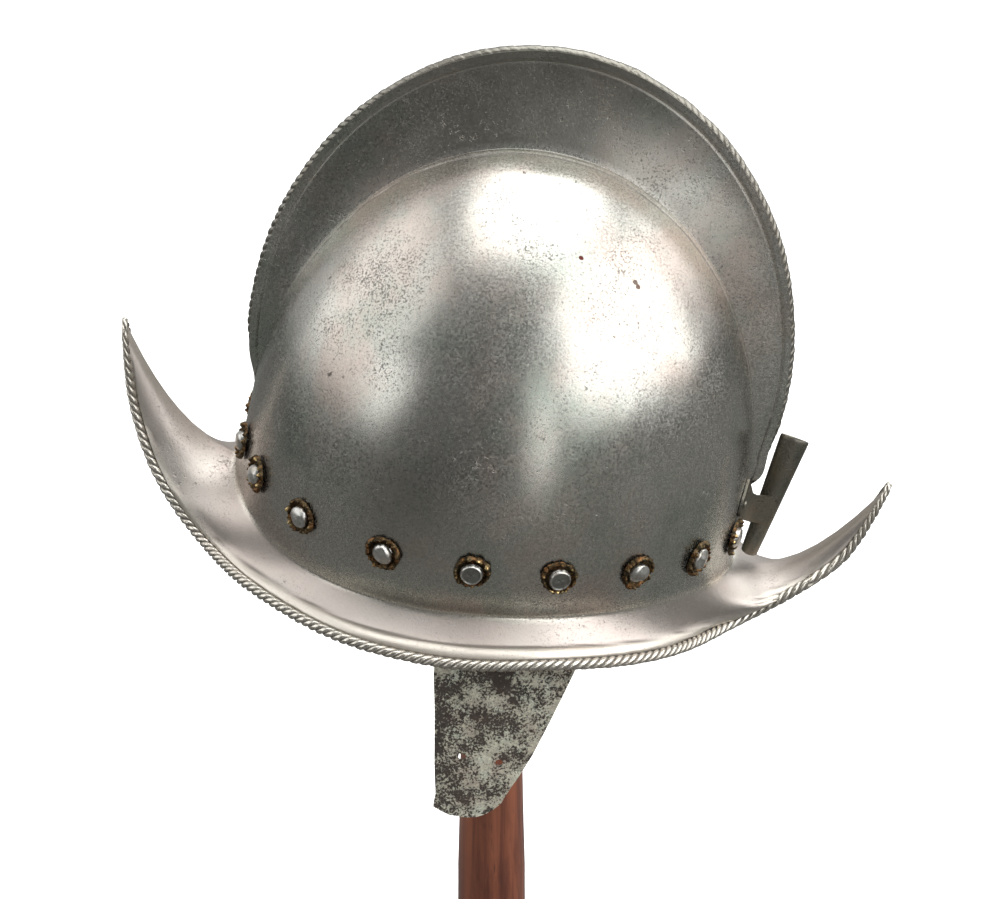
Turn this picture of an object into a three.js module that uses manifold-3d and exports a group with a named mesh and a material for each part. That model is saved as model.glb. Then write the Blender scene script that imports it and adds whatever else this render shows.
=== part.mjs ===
// A comb morion of about 1580 on its wooden stand, in millimetres, with +Z up.
// The helmet's own frame has its front at -X and the wearer's left at -Y, and z = 0 is at the front and back
// ends of the skull's foot.

import * as THREE from "three";
import Module from "manifold-3d";
import { mergeVertices } from "three/addons/utils/BufferGeometryUtils.js";

const wasm = await Module();
wasm.setup();

// Plate thickness and the clearance between neighbouring pieces
const wall = 1.3;
const gap = 0.3;

// Skull: half an ellipsoid over its widest ring, with a wall that leans in to the foot, where the brim starts
const skullHalfLength = 112.4;
const skullHalfWidth = 106.6;
const skullRise = 141.9;
const skullRingHeight = 36.4;
const footFlare = 1.3;
const footHalfLength = skullHalfLength + footFlare;
const footDraw = 8.3;
const footHalfWidth = skullHalfWidth - footDraw;
const footDip = 7;
const footSway = 7;
const footLean = 2.2;

// Comb: a thin hollow crest over the skull. Its edge is an ellipse in the middle plane, with a ridge on it.
const combOverhang = 7.4;
const combHalfLength = skullHalfLength + combOverhang;
const combRise = 141.4;
const combCentreLift = 43;
const combCentreHeight = skullRingHeight + combCentreLift;
const combRidgeShare = 0.55;
const combEndShare = 0.45;
const combLeastHalfThickness = 0.5;
const combRootHalfThickness = 9.8;
const combEdgeHalfThickness = 2.9;
const combEdgeDepth = 3.2;

// Brim: how far its points and its sides reach out past the skull, to the centre of the bead round its edge
const brimPointReach = 61.6;
const brimHalfLength = skullHalfLength + brimPointReach;
const brimSideReach = 15.1;
const brimHalfWidth = footHalfWidth + brimSideReach;
const brimTipHeight = 51.5;
const brimSag = { front: 10.5, side: 1.2, back: 15 };
const beadRadius = 3.2;
const tipBeadShare = 0.6;
const tipBeadSpread = 0.16;
const beadHalfTurn = 118;

// The brim's edge from the front point round one side to the back point: reach along X as a share of the half
// length, half width as a share of brimHalfWidth, height above z = 0 as a share of the points' height.
const brimEdge = [
  { reach: -1, width: 0, height: 1 },
  { reach: -0.992, width: 0.028, height: 0.9 },
  { reach: -0.93, width: 0.06, height: 0.252 },
  { reach: -0.845, width: 0.137, height: -0.198 },
  { reach: -0.7, width: 0.289, height: -0.559 },
  { reach: -0.5, width: 0.686, height: -0.538 },
  { reach: -0.25, width: 0.951, height: -0.487 },
  { reach: 0, width: 1, height: -0.437 },
  { reach: 0.25, width: 0.951, height: -0.303 },
  { reach: 0.5, width: 0.686, height: -0.307 },
  { reach: 0.7, width: 0.228, height: -0.324 },
  { reach: 0.845, width: 0.124, height: 0.024 },
  { reach: 0.93, width: 0.06, height: 0.311 },
  { reach: 0.992, width: 0.028, height: 0.9 },
  { reach: 1, width: 0, height: 1 },
];

// Lining rivets and their rosettes: places round one side, as shares of the half turn from front to back
const rivetShares = [0.067, 0.15, 0.262, 0.39, 0.502, 0.608, 0.715, 0.824, 0.935];
const rivetRingHeight = 18.7;
const rivetRingSway = 5.5;
const rivetHeadRadius = 5.2;
const rivetHeadHeight = 2.9;
const rivetShankRadius = 2;
const rivetTailRadius = 3.3;
const rivetTailHeight = 1.1;
const rivetTailGap = 0.7;
const rosetteRadius = 8.2;
const rosetteWave = 0.9;
const rosettePetals = 8;
const rosetteThickness = 1;

// Cheek plates: hung inside the skull's foot on the fifth and the sixth rivet of each side
const cheekRivets = [4, 5];
const cheekThickness = 1.3;
const cheekSeatGap = 1.15;
const cheekTop = 31;
const cheekBottom = -107;
const cheekFront = -9;
const cheekBack = 56;
const cheekHoleRadius = 1.8;
const cheekLean = 0.035;
const cheekFlatten = 0.55;

// The cheek plate's two edges from its top to its bottom: depth as a share of its height, and the two sides
// as shares of its width.
const cheekOutline = [
  { depth: 0, front: 0.22, back: 0.8 },
  { depth: 0.035, front: 0.1, back: 0.93 },
  { depth: 0.09, front: 0.03, back: 0.99 },
  { depth: 0.18, front: 0, back: 1 },
  { depth: 0.24, front: 0, back: 1 },
  { depth: 0.285, front: 0, back: 1 },
  { depth: 0.4, front: 0.02, back: 0.985 },
  { depth: 0.485, front: 0.055, back: 0.965 },
  { depth: 0.6, front: 0.095, back: 0.915 },
  { depth: 0.7, front: 0.135, back: 0.86 },
  { depth: 0.8, front: 0.18, back: 0.79 },
  { depth: 0.88, front: 0.215, back: 0.71 },
  { depth: 0.93, front: 0.24, back: 0.62 },
  { depth: 0.96, front: 0.25, back: 0.56 },
  { depth: 0.985, front: 0.29, back: 0.51 },
  { depth: 1, front: 0.37, back: 0.45 },
];
const cheekHoles = [
  { across: 0.365, depth: 0.781 },
  { across: 0.62, depth: 0.775 },
];

// Plume holder: a tapered tube behind the comb's foot, with an ear on each side, riveted to the skull
const plumeTopRadius = 6.6;
const plumeFootRadius = 3.7;
const plumeWall = 0.9;
const plumeTopClearance = 3.6;
const plumeFootClearance = 4.4;
const plumeTop = { x: combHalfLength + plumeTopClearance + plumeTopRadius, z: 64 };
const plumeFoot = { x: footHalfLength + plumeFootClearance + plumeFootRadius, z: 5.2 };
const earThickness = 1.1;
const earReach = 21;
const earSeatStart = 12.5;
const earSeatShare = 0.6;
const earSeatClearance = 0.1;
const earKneeShare = 0.35;
const earKneeSpread = 0.9;
const earRivetReach = 16.2;
const earRivetHeight = 35;
const earHalfHeight = 11.5;
const earRivetClearance = 0.2;
const earRivetHeadRadius = 2.3;
const earRivetHeadHeight = 1.1;
const earRivetShankRadius = 1.4;

// An ear's lower and upper edge: place from the tube's side out to its free end, as a share, and two heights
// above its rivet as shares of earHalfHeight.
const earOutline = [
  { place: 0, low: -1.13, high: 0.13 },
  { place: 0.3, low: -1.043, high: 0.13 },
  { place: 0.42, low: -0.957, high: 0.261 },
  { place: 0.62, low: -0.783, high: 1 },
  { place: 0.8, low: -0.522, high: 0.652 },
  { place: 0.95, low: -0.391, high: 0.348 },
  { place: 1, low: -0.217, high: 0.13 },
];

// Stand: an upright post, widening to its foot, on a round base. The helmet sits on it with its front raised.
const helmetPitch = 11.1;
const helmetHeight = 290;
const poleForward = 2.9;
const poleTopRadius = 13.6;
const poleMiddleRadius = 14.6;
const poleFootRadius = 20;
const poleMiddleHeight = 130;
const poleFlareHeight = 62;
const poleCrown = 3;
const poleTopEdge = 2;
const poleCollar = 4;
const tenonRadius = 10;
const tenonLength = 12;
const baseRadius = 82;
const baseThickness = 22;
const baseEdge = 5;
const baseFootEdge = 2;

// How finely each form is cut into facets
const columns = 26;
const domeRows = 6;
const flankRows = 2;
const wallShares = [0, 0.35, 0.65, 0.88, 1];
const brimShares = [0.12, 0.36, 0.62, 0.84];
const beadSteps = 4;
const earPlaces = [0, 0.2, 0.4, 0.6, 0.72, 0.86, 1];
const rivetSides = 8;
const postSides = 16;
const baseSides = 28;
const cheekStrips = 5;

const steel = { color: 0x8d8a84, roughness: 0.34, metalness: 1 };
const darkSteel = { color: 0x5b5750, roughness: 0.45, metalness: 1 };
const brass = { color: 0x7d6236, roughness: 0.5, metalness: 1 };
const pittedSteel = { color: 0x7a776b, roughness: 0.6, metalness: 0.8 };
const wood = { color: 0x6d2f1d, roughness: 0.35, metalness: 0 };

const lerp = THREE.MathUtils.lerp;
const pitch = THREE.MathUtils.degToRad(helmetPitch);

// Reads one column of a table at a place along another column, in straight steps.
function readTable(table, key, at, value) {
  let row = 0;
  while (row < table.length - 2 && table[row + 1][key] < at) {
    row += 1;
  }
  const low = table[row];
  const high = table[row + 1];
  const share = THREE.MathUtils.clamp((at - low[key]) / (high[key] - low[key]), 0, 1);
  return lerp(low[value], high[value], share);
}

// Splits a grid of points into triangles, with rows one way and the points along a row the other way.
function gridTriangles(rows, flipped) {
  const triangles = [];
  for (let row = 0; row + 1 < rows.length; row += 1) {
    for (let place = 0; place + 1 < rows[row].length; place += 1) {
      const [here, next] = [rows[row], rows[row + 1]];
      const corners = [here[place], here[place + 1], next[place + 1], next[place]];
      if (flipped) {
        corners.reverse();
      }
      triangles.push([corners[0], corners[1], corners[2]], [corners[0], corners[2], corners[3]]);
    }
  }
  return triangles;
}

// Makes one closed geometry of triangles, with shared corners and no collapsed triangle.
function closedGeometry(triangles) {
  const soup = new THREE.BufferGeometry();
  const numbers = triangles.flat().flatMap((point) => [point.x, point.y, point.z]);
  soup.setAttribute("position", new THREE.Float32BufferAttribute(numbers, 3));
  const merged = mergeVertices(soup, 1e-3);
  const index = merged.index.array;
  const kept = [];
  for (let i = 0; i < index.length; i += 3) {
    const [a, b, c] = [index[i], index[i + 1], index[i + 2]];
    if (a !== b && b !== c && c !== a) {
      kept.push(a, b, c);
    }
  }
  merged.setIndex(kept);
  return merged;
}

function toSolid(geometry) {
  const bare = geometry.clone();
  bare.deleteAttribute("normal");
  bare.deleteAttribute("uv");
  const merged = mergeVertices(bare, 1e-4);
  return new wasm.Manifold(new wasm.Mesh({
    numProp: 3,
    vertProperties: new Float32Array(merged.attributes.position.array),
    triVerts: new Uint32Array(merged.index.array),
  }));
}

function toGeometry(solid) {
  const mesh = solid.getMesh();
  const geometry = new THREE.BufferGeometry();
  geometry.setAttribute("position", new THREE.Float32BufferAttribute(mesh.vertProperties, 3));
  geometry.setIndex(Array.from(mesh.triVerts));
  return geometry;
}

// A closed sheet: the given face, a second face under it at the sheet's thickness, and its four edges.
function sheetTriangles(face, thickness, flipped) {
  const normals = faceNormals(face, flipped);
  const back = face.map((row, i) => row.map((point, j) => {
    return point.clone().addScaledVector(normals[i][j], -thickness);
  }));
  const last = face.length - 1;
  const end = face[0].length - 1;
  return [
    ...gridTriangles(face, flipped),
    ...gridTriangles(back, !flipped),
    ...gridTriangles([back[0], face[0]], flipped),
    ...gridTriangles([face[last], back[last]], flipped),
    ...gridTriangles([face.map((row) => row[0]), back.map((row) => row[0])], flipped),
    ...gridTriangles([back.map((row) => row[end]), face.map((row) => row[end])], flipped),
  ];
}

// The outward direction at each point of a grid, from its neighbours along and across the rows.
function faceNormals(face, flipped) {
  return face.map((row, i) => row.map((_, j) => {
    const before = face[Math.max(i - 1, 0)][j];
    const after = face[Math.min(i + 1, face.length - 1)][j];
    const left = row[Math.max(j - 1, 0)];
    const right = row[Math.min(j + 1, row.length - 1)];
    const along = new THREE.Vector3().subVectors(right, left);
    const across = new THREE.Vector3().subVectors(after, before);
    const normal = new THREE.Vector3().crossVectors(along, across).normalize();
    return flipped ? normal.negate() : normal;
  }));
}

// A place on a level ring of the skull: angle 0 is the front, half a turn is the back, side -1 is the left.
function ringPoint(angle, side, halfLength, halfWidth, height) {
  return new THREE.Vector3(-halfLength * Math.cos(angle), side * halfWidth * Math.sin(angle), height);
}

function footHeight(angle) {
  return -footDip * Math.sin(angle) ** 2 - footSway * Math.sin(2 * angle);
}

// The skull's wall between its widest ring and the foot. The share is 0 at the ring and 1 at the foot.
function wallPoint(angle, side, share, inset) {
  const lean = Math.min(share, 1) ** footLean;
  const halfLength = lerp(skullHalfLength, footHalfLength, lean) - inset;
  const halfWidth = lerp(skullHalfWidth, footHalfWidth, lean) - inset;
  return ringPoint(angle, side, halfLength, halfWidth, lerp(skullRingHeight, footHeight(angle), share));
}

// One section of the skull and comb, from the left side of the ring over the comb to the right side.
// The inner face is the same section with its sizes drawn in by the plate's thickness.
function domeSection(angle, inset, edgeInset) {
  const halfLength = skullHalfLength - inset;
  const halfWidth = skullHalfWidth - inset;
  const rise = skullRise - inset;
  const spread = Math.sin(angle);
  if (spread < 1e-6) {
    const pole = ringPoint(angle, 1, halfLength, halfWidth, skullRingHeight);
    return Array.from({ length: 2 * (domeRows + flankRows) + 5 }, () => pole.clone());
  }
  const root = Math.max(combRootHalfThickness * Math.sqrt(spread) - inset, combLeastHalfThickness);
  const fullEdge = combEdgeHalfThickness * Math.min(1, combEndShare + 2 * spread);
  const edge = Math.max(fullEdge - inset, combLeastHalfThickness);
  const rootTurn = Math.acos(Math.min(root / (halfWidth * spread), 1));
  const footTurn = Math.asin((skullRingHeight - combCentreHeight) / combRise);
  const combTurn = lerp(footTurn, Math.PI - footTurn, angle / Math.PI);
  const crest = new THREE.Vector3(
    -(combHalfLength - edgeInset) * Math.cos(combTurn),
    0,
    combCentreHeight + (combRise - edgeInset) * Math.sin(combTurn),
  );
  const half = [];
  for (let row = 0; row <= domeRows; row += 1) {
    const turn = rootTurn * row / domeRows;
    const out = halfWidth * spread * Math.cos(turn);
    const up = skullRingHeight + rise * spread * Math.sin(turn);
    half.push({ x: -halfLength * Math.cos(angle), out, z: up });
  }
  const base = half[domeRows];
  for (let row = 1; row <= flankRows + 1; row += 1) {
    const share = row / (flankRows + 1);
    const out = edge + (root - edge) * (1 - share) ** 2;
    half.push({ x: lerp(base.x, crest.x, share), out, z: lerp(base.z, crest.z, share) });
  }
  const outward = new THREE.Vector3(-Math.cos(combTurn), 0, Math.sin(combTurn));
  const ridge = crest.clone().addScaledVector(outward, edge * combRidgeShare);
  const left = half.map((spot) => new THREE.Vector3(spot.x, -spot.out, spot.z));
  const right = half.map((spot) => new THREE.Vector3(spot.x, spot.out, spot.z)).reverse();
  return [...left, ridge, ...right];
}

const edgePoints = brimEdge.map((row) => new THREE.Vector3(
  row.reach * brimHalfLength,
  row.width * brimHalfWidth,
  row.height * brimTipHeight,
));
const edgeCurve = new THREE.CatmullRomCurve3(edgePoints, false, "centripetal");
edgeCurve.arcLengthDivisions = 400;

function edgePoint(angle, side) {
  const point = edgeCurve.getPointAt(THREE.MathUtils.clamp(angle / Math.PI, 0, 1));
  point.y *= side;
  return point;
}

// The brim between the foot and the centre of its bead, hollowed a little between the two.
function brimPoint(angle, side, share) {
  const start = wallPoint(angle, side, 1, 0);
  const point = start.lerp(edgePoint(angle, side), share);
  const end = Math.cos(angle) > 0 ? brimSag.front : brimSag.back;
  const sag = lerp(brimSag.side, end, Math.abs(Math.cos(angle)) ** 6);
  point.z -= 4 * sag * share * (1 - share);
  return point;
}

// Angle and side of each column round the helmet, from the front along the left and back along the right.
function columnPlaces() {
  const places = [];
  for (let column = 0; column <= 2 * columns; column += 1) {
    const left = column <= columns;
    places.push({ angle: Math.PI * (left ? column : 2 * columns - column) / columns, side: left ? -1 : 1 });
  }
  return places;
}

// The half round of the bead at one column, from the brim's upper face round its edge to the lower face.
function beadPoints(column, places, upper) {
  const count = 2 * columns;
  const here = places[column];
  const centre = edgePoint(here.angle, here.side);
  const before = places[(column - 1 + count) % count];
  const after = places[(column + 1) % count];
  const along = edgePoint(after.angle, after.side).sub(edgePoint(before.angle, before.side)).normalize();
  const inward = upper.clone().sub(centre).normalize();
  const normal = new THREE.Vector3().crossVectors(along, inward).normalize();
  const outward = new THREE.Vector3().crossVectors(along, normal).normalize();
  if (outward.dot(inward) > 0) {
    outward.negate();
  }
  const tip = 1 - (1 - tipBeadShare) * Math.exp(-((Math.sin(here.angle) / tipBeadSpread) ** 2));
  const radius = beadRadius * tip;
  const upSign = normal.z >= 0 ? 1 : -1;
  return Array.from({ length: beadSteps + 1 }, (_, step) => {
    const turn = THREE.MathUtils.degToRad(lerp(beadHalfTurn, -beadHalfTurn, step / beadSteps));
    return centre.clone()
      .addScaledVector(outward, radius * Math.cos(turn))
      .addScaledVector(normal, upSign * radius * Math.sin(turn));
  });
}

function shellSolid() {
  const places = columnPlaces();
  const upperRows = places.map(({ angle, side }) => [
    ...wallShares.map((share) => wallPoint(angle, side, share, 0)),
    ...brimShares.map((share) => brimPoint(angle, side, share)),
  ]);
  const closedRows = [upperRows[2 * columns - 1], ...upperRows, upperRows[1]];
  const normals = faceNormals(closedRows, false).slice(1, -1);
  const skirtRows = places.map(({ angle, side }, column) => {
    const upper = upperRows[column];
    const lower = upper.map((point, i) => {
      if (i < wallShares.length - 1) {
        return wallPoint(angle, side, wallShares[i], wall);
      }
      return point.clone().addScaledVector(normals[column][i], -wall);
    });
    const bead = beadPoints(column % (2 * columns), places, upper[upper.length - 1]);
    return [...upper, ...bead, ...lower.reverse()];
  });
  const angles = Array.from({ length: columns + 1 }, (_, i) => Math.PI * i / columns);
  const outer = angles.map((angle) => domeSection(angle, 0, 0));
  const inner = angles.map((angle) => domeSection(angle, wall, combEdgeDepth));
  const shell = closedGeometry([
    ...gridTriangles(skirtRows, false),
    ...gridTriangles(outer, true),
    ...gridTriangles(inner, false),
  ]);
  return toSolid(shell);
}

// A frame standing on the skull's wall: its origin on the outer face and its z axis pointing out.
function wallFrame(angle, side, height) {
  const share = (skullRingHeight - height) / (skullRingHeight - footHeight(angle));
  const step = 0.01;
  const around = wallPoint(angle + step, side, share, 0).sub(wallPoint(angle - step, side, share, 0));
  const down = wallPoint(angle, side, share + step, 0).sub(wallPoint(angle, side, share - step, 0));
  const out = new THREE.Vector3().crossVectors(around, down).normalize().multiplyScalar(side);
  out.multiplyScalar(out.y * side >= 0 ? 1 : -1);
  const tangent = around.normalize();
  const up = new THREE.Vector3().crossVectors(out, tangent).normalize();
  const matrix = new THREE.Matrix4().makeBasis(tangent, up, out);
  return matrix.setPosition(wallPoint(angle, side, share, 0));
}

function rivetFrame(share, side) {
  const angle = Math.PI * share;
  return wallFrame(angle, side, rivetRingHeight - rivetRingSway * Math.sin(2 * angle));
}

// A cylinder along the frame's z axis, through the plate and what lies on both sides of it.
function drill(frame, radius, reach) {
  const hole = new THREE.CylinderGeometry(radius, radius, 2 * reach, rivetSides);
  hole.rotateX(Math.PI / 2);
  hole.applyMatrix4(frame);
  return toSolid(hole);
}

// A rivet turned about its axis: a domed head outside, the shank, and a tail closed over on the inside.
function rivetGeometry(frame, sizes) {
  const points = [
    [0, sizes.seat + sizes.headHeight],
    [sizes.headRadius * 0.68, sizes.seat + sizes.headHeight * 0.8],
    [sizes.headRadius, sizes.seat],
    [sizes.shankRadius, sizes.seat],
    [sizes.shankRadius, -sizes.depth],
    [sizes.tailRadius, -sizes.depth],
    [sizes.tailRadius * 0.8, -sizes.depth - sizes.tailHeight],
    [0, -sizes.depth - sizes.tailHeight],
  ].map(([radius, height]) => new THREE.Vector2(radius, height)).reverse();
  const rivet = new THREE.LatheGeometry(points, rivetSides);
  rivet.rotateX(Math.PI / 2);
  rivet.applyMatrix4(frame);
  return toGeometry(toSolid(rivet));
}

// A rosette: a thin washer with a petalled edge, lying on the skull under the rivet's head.
function rosetteGeometry(frame) {
  const outline = Array.from({ length: 2 * rosettePetals }, (_, step) => {
    const turn = Math.PI * step / rosettePetals;
    const radius = rosetteRadius - (step % 2) * rosetteWave;
    return new THREE.Vector2(radius * Math.cos(turn), radius * Math.sin(turn));
  });
  const shape = new THREE.Shape(outline);
  const holeRadius = rivetShankRadius + gap;
  const hole = Array.from({ length: rivetSides }, (_, step) => {
    const turn = 2 * Math.PI * step / rivetSides;
    return new THREE.Vector2(holeRadius * Math.cos(turn), holeRadius * Math.sin(turn));
  });
  shape.holes.push(new THREE.Path(hole));
  const washer = new THREE.ExtrudeGeometry(shape, { depth: rosetteThickness, bevelEnabled: false });
  washer.translate(0, 0, gap);
  washer.applyMatrix4(frame);
  return toGeometry(toSolid(washer));
}

// A place on the cheek plate's outer face. It follows the skull's inner wall and hangs on below the foot.
function cheekPoint(across, depth, side) {
  const height = lerp(cheekTop, cheekBottom, depth);
  const front = readTable(cheekOutline, "depth", depth, "front");
  const back = readTable(cheekOutline, "depth", depth, "back");
  const x = lerp(cheekFront, cheekBack, lerp(front, back, across));
  const angle = Math.acos(-x / (skullHalfLength - wall - cheekSeatGap));
  const share = (skullRingHeight - height) / (skullRingHeight - footHeight(angle));
  const seat = wallPoint(angle, side, Math.min(share, 1), wall + cheekSeatGap);
  const below = Math.max(footHeight(angle) - height, 0);
  const hang = Math.min(below / (footHeight(angle) - cheekBottom), 1);
  const middle = footHalfWidth - wall - cheekSeatGap;
  const out = lerp(Math.abs(seat.y), middle, hang * cheekFlatten * (1 - Math.abs(seat.y) / middle) * 4);
  return new THREE.Vector3(x, side * (out - cheekLean * below), height);
}

function cheekGeometry(side) {
  const depths = cheekOutline.map((row) => row.depth);
  const across = Array.from({ length: cheekStrips + 1 }, (_, i) => i / cheekStrips);
  const face = depths.map((depth) => across.map((place) => cheekPoint(place, depth, side)));
  let plate = toSolid(closedGeometry(sheetTriangles(face, cheekThickness, side < 0)));
  for (const index of cheekRivets) {
    const frame = rivetFrame(rivetShares[index], side);
    plate = plate.subtract(drill(frame, rivetShankRadius + gap, 3 * beadRadius));
  }
  for (const hole of cheekHoles) {
    const front = readTable(cheekOutline, "depth", hole.depth, "front");
    const back = readTable(cheekOutline, "depth", hole.depth, "back");
    const spot = cheekPoint((hole.across - front) / (back - front), hole.depth, side);
    const frame = new THREE.Matrix4().makeRotationX(Math.PI / 2).setPosition(spot);
    plate = plate.subtract(drill(frame, cheekHoleRadius, 4 * cheekThickness));
  }
  return toGeometry(plate);
}

// The route of an ear in plan at one height: along the tube's side, in to the skull, then along its wall.
function earPoint(place, height, side) {
  const share = (height - plumeFoot.z) / (plumeTop.z - plumeFoot.z);
  const tubeX = lerp(plumeFoot.x, plumeTop.x, share);
  const tubeSide = lerp(plumeFootRadius, plumeTopRadius, share) - plumeWall / 2 + earThickness / 2;
  const lift = gap + earThickness + earSeatClearance;
  if (place >= earSeatShare) {
    const reach = lerp(earSeatStart, earReach, (place - earSeatShare) / (1 - earSeatShare));
    return skullOutside(reach, height, side, lift);
  }
  const seat = skullOutside(earSeatStart, height, side, lift);
  const kneeX = lerp(seat.x, tubeX, earKneeShare);
  const knee = new THREE.Vector3(kneeX, side * (tubeSide + earKneeSpread), height);
  const start = new THREE.Vector3(tubeX, side * tubeSide, height);
  const curve = new THREE.QuadraticBezierCurve3(start, knee, seat);
  return curve.getPoint(place / earSeatShare);
}

// A place outside the back of the skull at a given distance from the middle plane, lifted off by a distance.
function skullOutside(reach, height, side, lift) {
  const above = Math.max(height - skullRingHeight, 0) / skullRise;
  const shrink = Math.sqrt(1 - above ** 2);
  const angle = Math.PI - Math.asin(reach / (skullHalfWidth * shrink));
  const halfLength = skullHalfLength * shrink + lift;
  return new THREE.Vector3(-halfLength * Math.cos(angle), side * reach, height);
}

function plumeHolderGeometry() {
  const foot = new THREE.Vector3(plumeFoot.x, 0, plumeFoot.z);
  const top = new THREE.Vector3(plumeTop.x, 0, plumeTop.z);
  const length = top.distanceTo(foot);
  const lean = Math.atan2(plumeTop.x - plumeFoot.x, plumeTop.z - plumeFoot.z);
  const place = (geometry) => {
    geometry.rotateX(Math.PI / 2);
    geometry.rotateY(lean);
    geometry.translate((foot.x + top.x) / 2, 0, (foot.z + top.z) / 2);
    return toSolid(geometry);
  };
  const tube = place(new THREE.CylinderGeometry(plumeTopRadius, plumeFootRadius, length, 16));
  const slope = (plumeTopRadius - plumeFootRadius) / length;
  const boreTop = plumeTopRadius - plumeWall + slope;
  const boreFoot = plumeFootRadius - plumeWall - slope;
  const bore = place(new THREE.CylinderGeometry(boreTop, boreFoot, length + 2, 16));
  let holder = tube;
  for (const side of [-1, 1]) {
    const rows = earPlaces.map((spot) => {
      const low = readTable(earOutline, "place", spot, "low");
      const high = readTable(earOutline, "place", spot, "high");
      return [low, (low + high) / 2, high].map((level) => {
        return earPoint(spot, earRivetHeight + level * earHalfHeight, side);
      });
    });
    holder = holder.add(toSolid(closedGeometry(sheetTriangles(rows, earThickness, side > 0))));
  }
  holder = holder.subtract(bore);
  for (const side of [-1, 1]) {
    holder = holder.subtract(drill(earFrame(side), earRivetShankRadius + gap, 3 * beadRadius));
  }
  return toGeometry(holder);
}

function earFrame(side) {
  const angle = Math.PI - Math.asin(earRivetReach / skullHalfWidth);
  return wallFrame(angle, side, earRivetHeight);
}

// A height worked out by halving is found to within this.
const heightTolerance = 1e-4;

// The highest that the post's rounded top can stand, clear of the skull's inner face on both sides of
// the comb. The top is tried at points on rings from its middle out.
function poleTopHeight() {
  const rings = 4;
  const steps = 24;
  const halfLength = skullHalfLength - wall;
  const halfWidth = skullHalfWidth - wall;
  const rise = skullRise - wall;
  let height = Infinity;
  for (let ring = 0; ring <= rings; ring += 1) {
    const radius = poleTopRadius * ring / rings;
    const crown = poleCrown * (1 - (ring / rings) ** 2);
    for (let step = 0; step < steps; step += 1) {
      const turn = 2 * Math.PI * step / steps;
      const x = poleForward + radius * Math.cos(turn);
      const y = radius * Math.sin(turn);
      if (Math.abs(y) < combRootHalfThickness - wall) {
        continue;
      }
      let level = 0;
      let span = 2 * skullRise;
      while (span > heightTolerance) {
        span /= 2;
        const up = level + span;
        const local = new THREE.Vector3(x, y, up).applyAxisAngle(new THREE.Vector3(0, 1, 0), -pitch);
        const lift = Math.max(local.z - skullRingHeight, 0);
        const inside = (local.x / halfLength) ** 2 + (local.y / halfWidth) ** 2 + (lift / rise) ** 2;
        level = inside < 1 ? up : level;
      }
      height = Math.min(height, level - crown);
    }
  }
  return helmetHeight + height - 2 * gap;
}

// A solid turned about the post's axis from rows of radius and height.
function turnedGeometry(rows, sides) {
  const points = rows.map((row) => new THREE.Vector2(row.radius, row.height));
  const turned = new THREE.LatheGeometry(points, sides);
  turned.rotateX(Math.PI / 2);
  return toGeometry(toSolid(turned));
}

// The post's rounded top has one ring between its edge and its middle, at this share of its radius.
const crownShoulder = 0.6;

// The flare: share of the widening that is left, at a share of the flare's height over the base.
const poleFlare = [
  { height: 0.3, widening: 0.45 },
  { height: 0.6, widening: 0.18 },
  { height: 1, widening: 0.07 },
];

function poleGeometry() {
  const top = poleTopHeight();
  const socketFloor = baseThickness - tenonLength + gap;
  const seat = baseThickness + gap;
  return turnedGeometry([
    { radius: 0, height: socketFloor },
    { radius: tenonRadius, height: socketFloor },
    { radius: tenonRadius, height: seat },
    { radius: poleFootRadius, height: seat },
    { radius: poleFootRadius, height: seat + poleCollar },
    ...poleFlare.map((row) => ({
      radius: lerp(poleMiddleRadius, poleFootRadius, row.widening),
      height: baseThickness + poleFlareHeight * row.height,
    })),
    { radius: poleMiddleRadius, height: helmetHeight - poleMiddleHeight },
    { radius: poleTopRadius, height: top - poleTopEdge },
    { radius: poleTopRadius, height: top },
    { radius: poleTopRadius * crownShoulder, height: top + poleCrown * (1 - crownShoulder ** 2) },
    { radius: 0, height: top + poleCrown },
  ], postSides);
}

// The base's edge from its side up to its level top: steps in from the rim, in baseEdge, and heights as
// shares of its thickness.
const baseMoulding = [
  { step: 0, height: 0.42 },
  { step: 0.4, height: 0.52 },
  { step: 1.4, height: 0.6 },
  { step: 2.6, height: 0.86 },
  { step: 4, height: 1 },
];

function baseGeometry() {
  const socket = tenonRadius + gap;
  return turnedGeometry([
    { radius: 0, height: 0 },
    { radius: baseRadius - baseFootEdge, height: 0 },
    { radius: baseRadius, height: baseFootEdge },
    ...baseMoulding.map((row) => ({
      radius: baseRadius - baseEdge * row.step,
      height: baseThickness * row.height,
    })),
    { radius: socket, height: baseThickness },
    { radius: socket, height: baseThickness - tenonLength },
    { radius: 0, height: baseThickness - tenonLength },
  ], baseSides);
}

function named(name, geometry, look) {
  const mesh = new THREE.Mesh(geometry, new THREE.MeshStandardMaterial(look));
  mesh.name = name;
  return mesh;
}

const rivets = [];
for (const side of [-1, 1]) {
  rivetShares.forEach((share, index) => {
    const held = cheekRivets.includes(index) ? cheekSeatGap + cheekThickness : 0;
    rivets.push({ frame: rivetFrame(share, side), depth: wall + rivetTailGap + held });
  });
}

let shell = shellSolid();
for (const rivet of rivets) {
  shell = shell.subtract(drill(rivet.frame, rivetShankRadius + gap, 4 * wall));
}
for (const side of [-1, 1]) {
  shell = shell.subtract(drill(earFrame(side), earRivetShankRadius + gap, 4 * wall));
}

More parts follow.
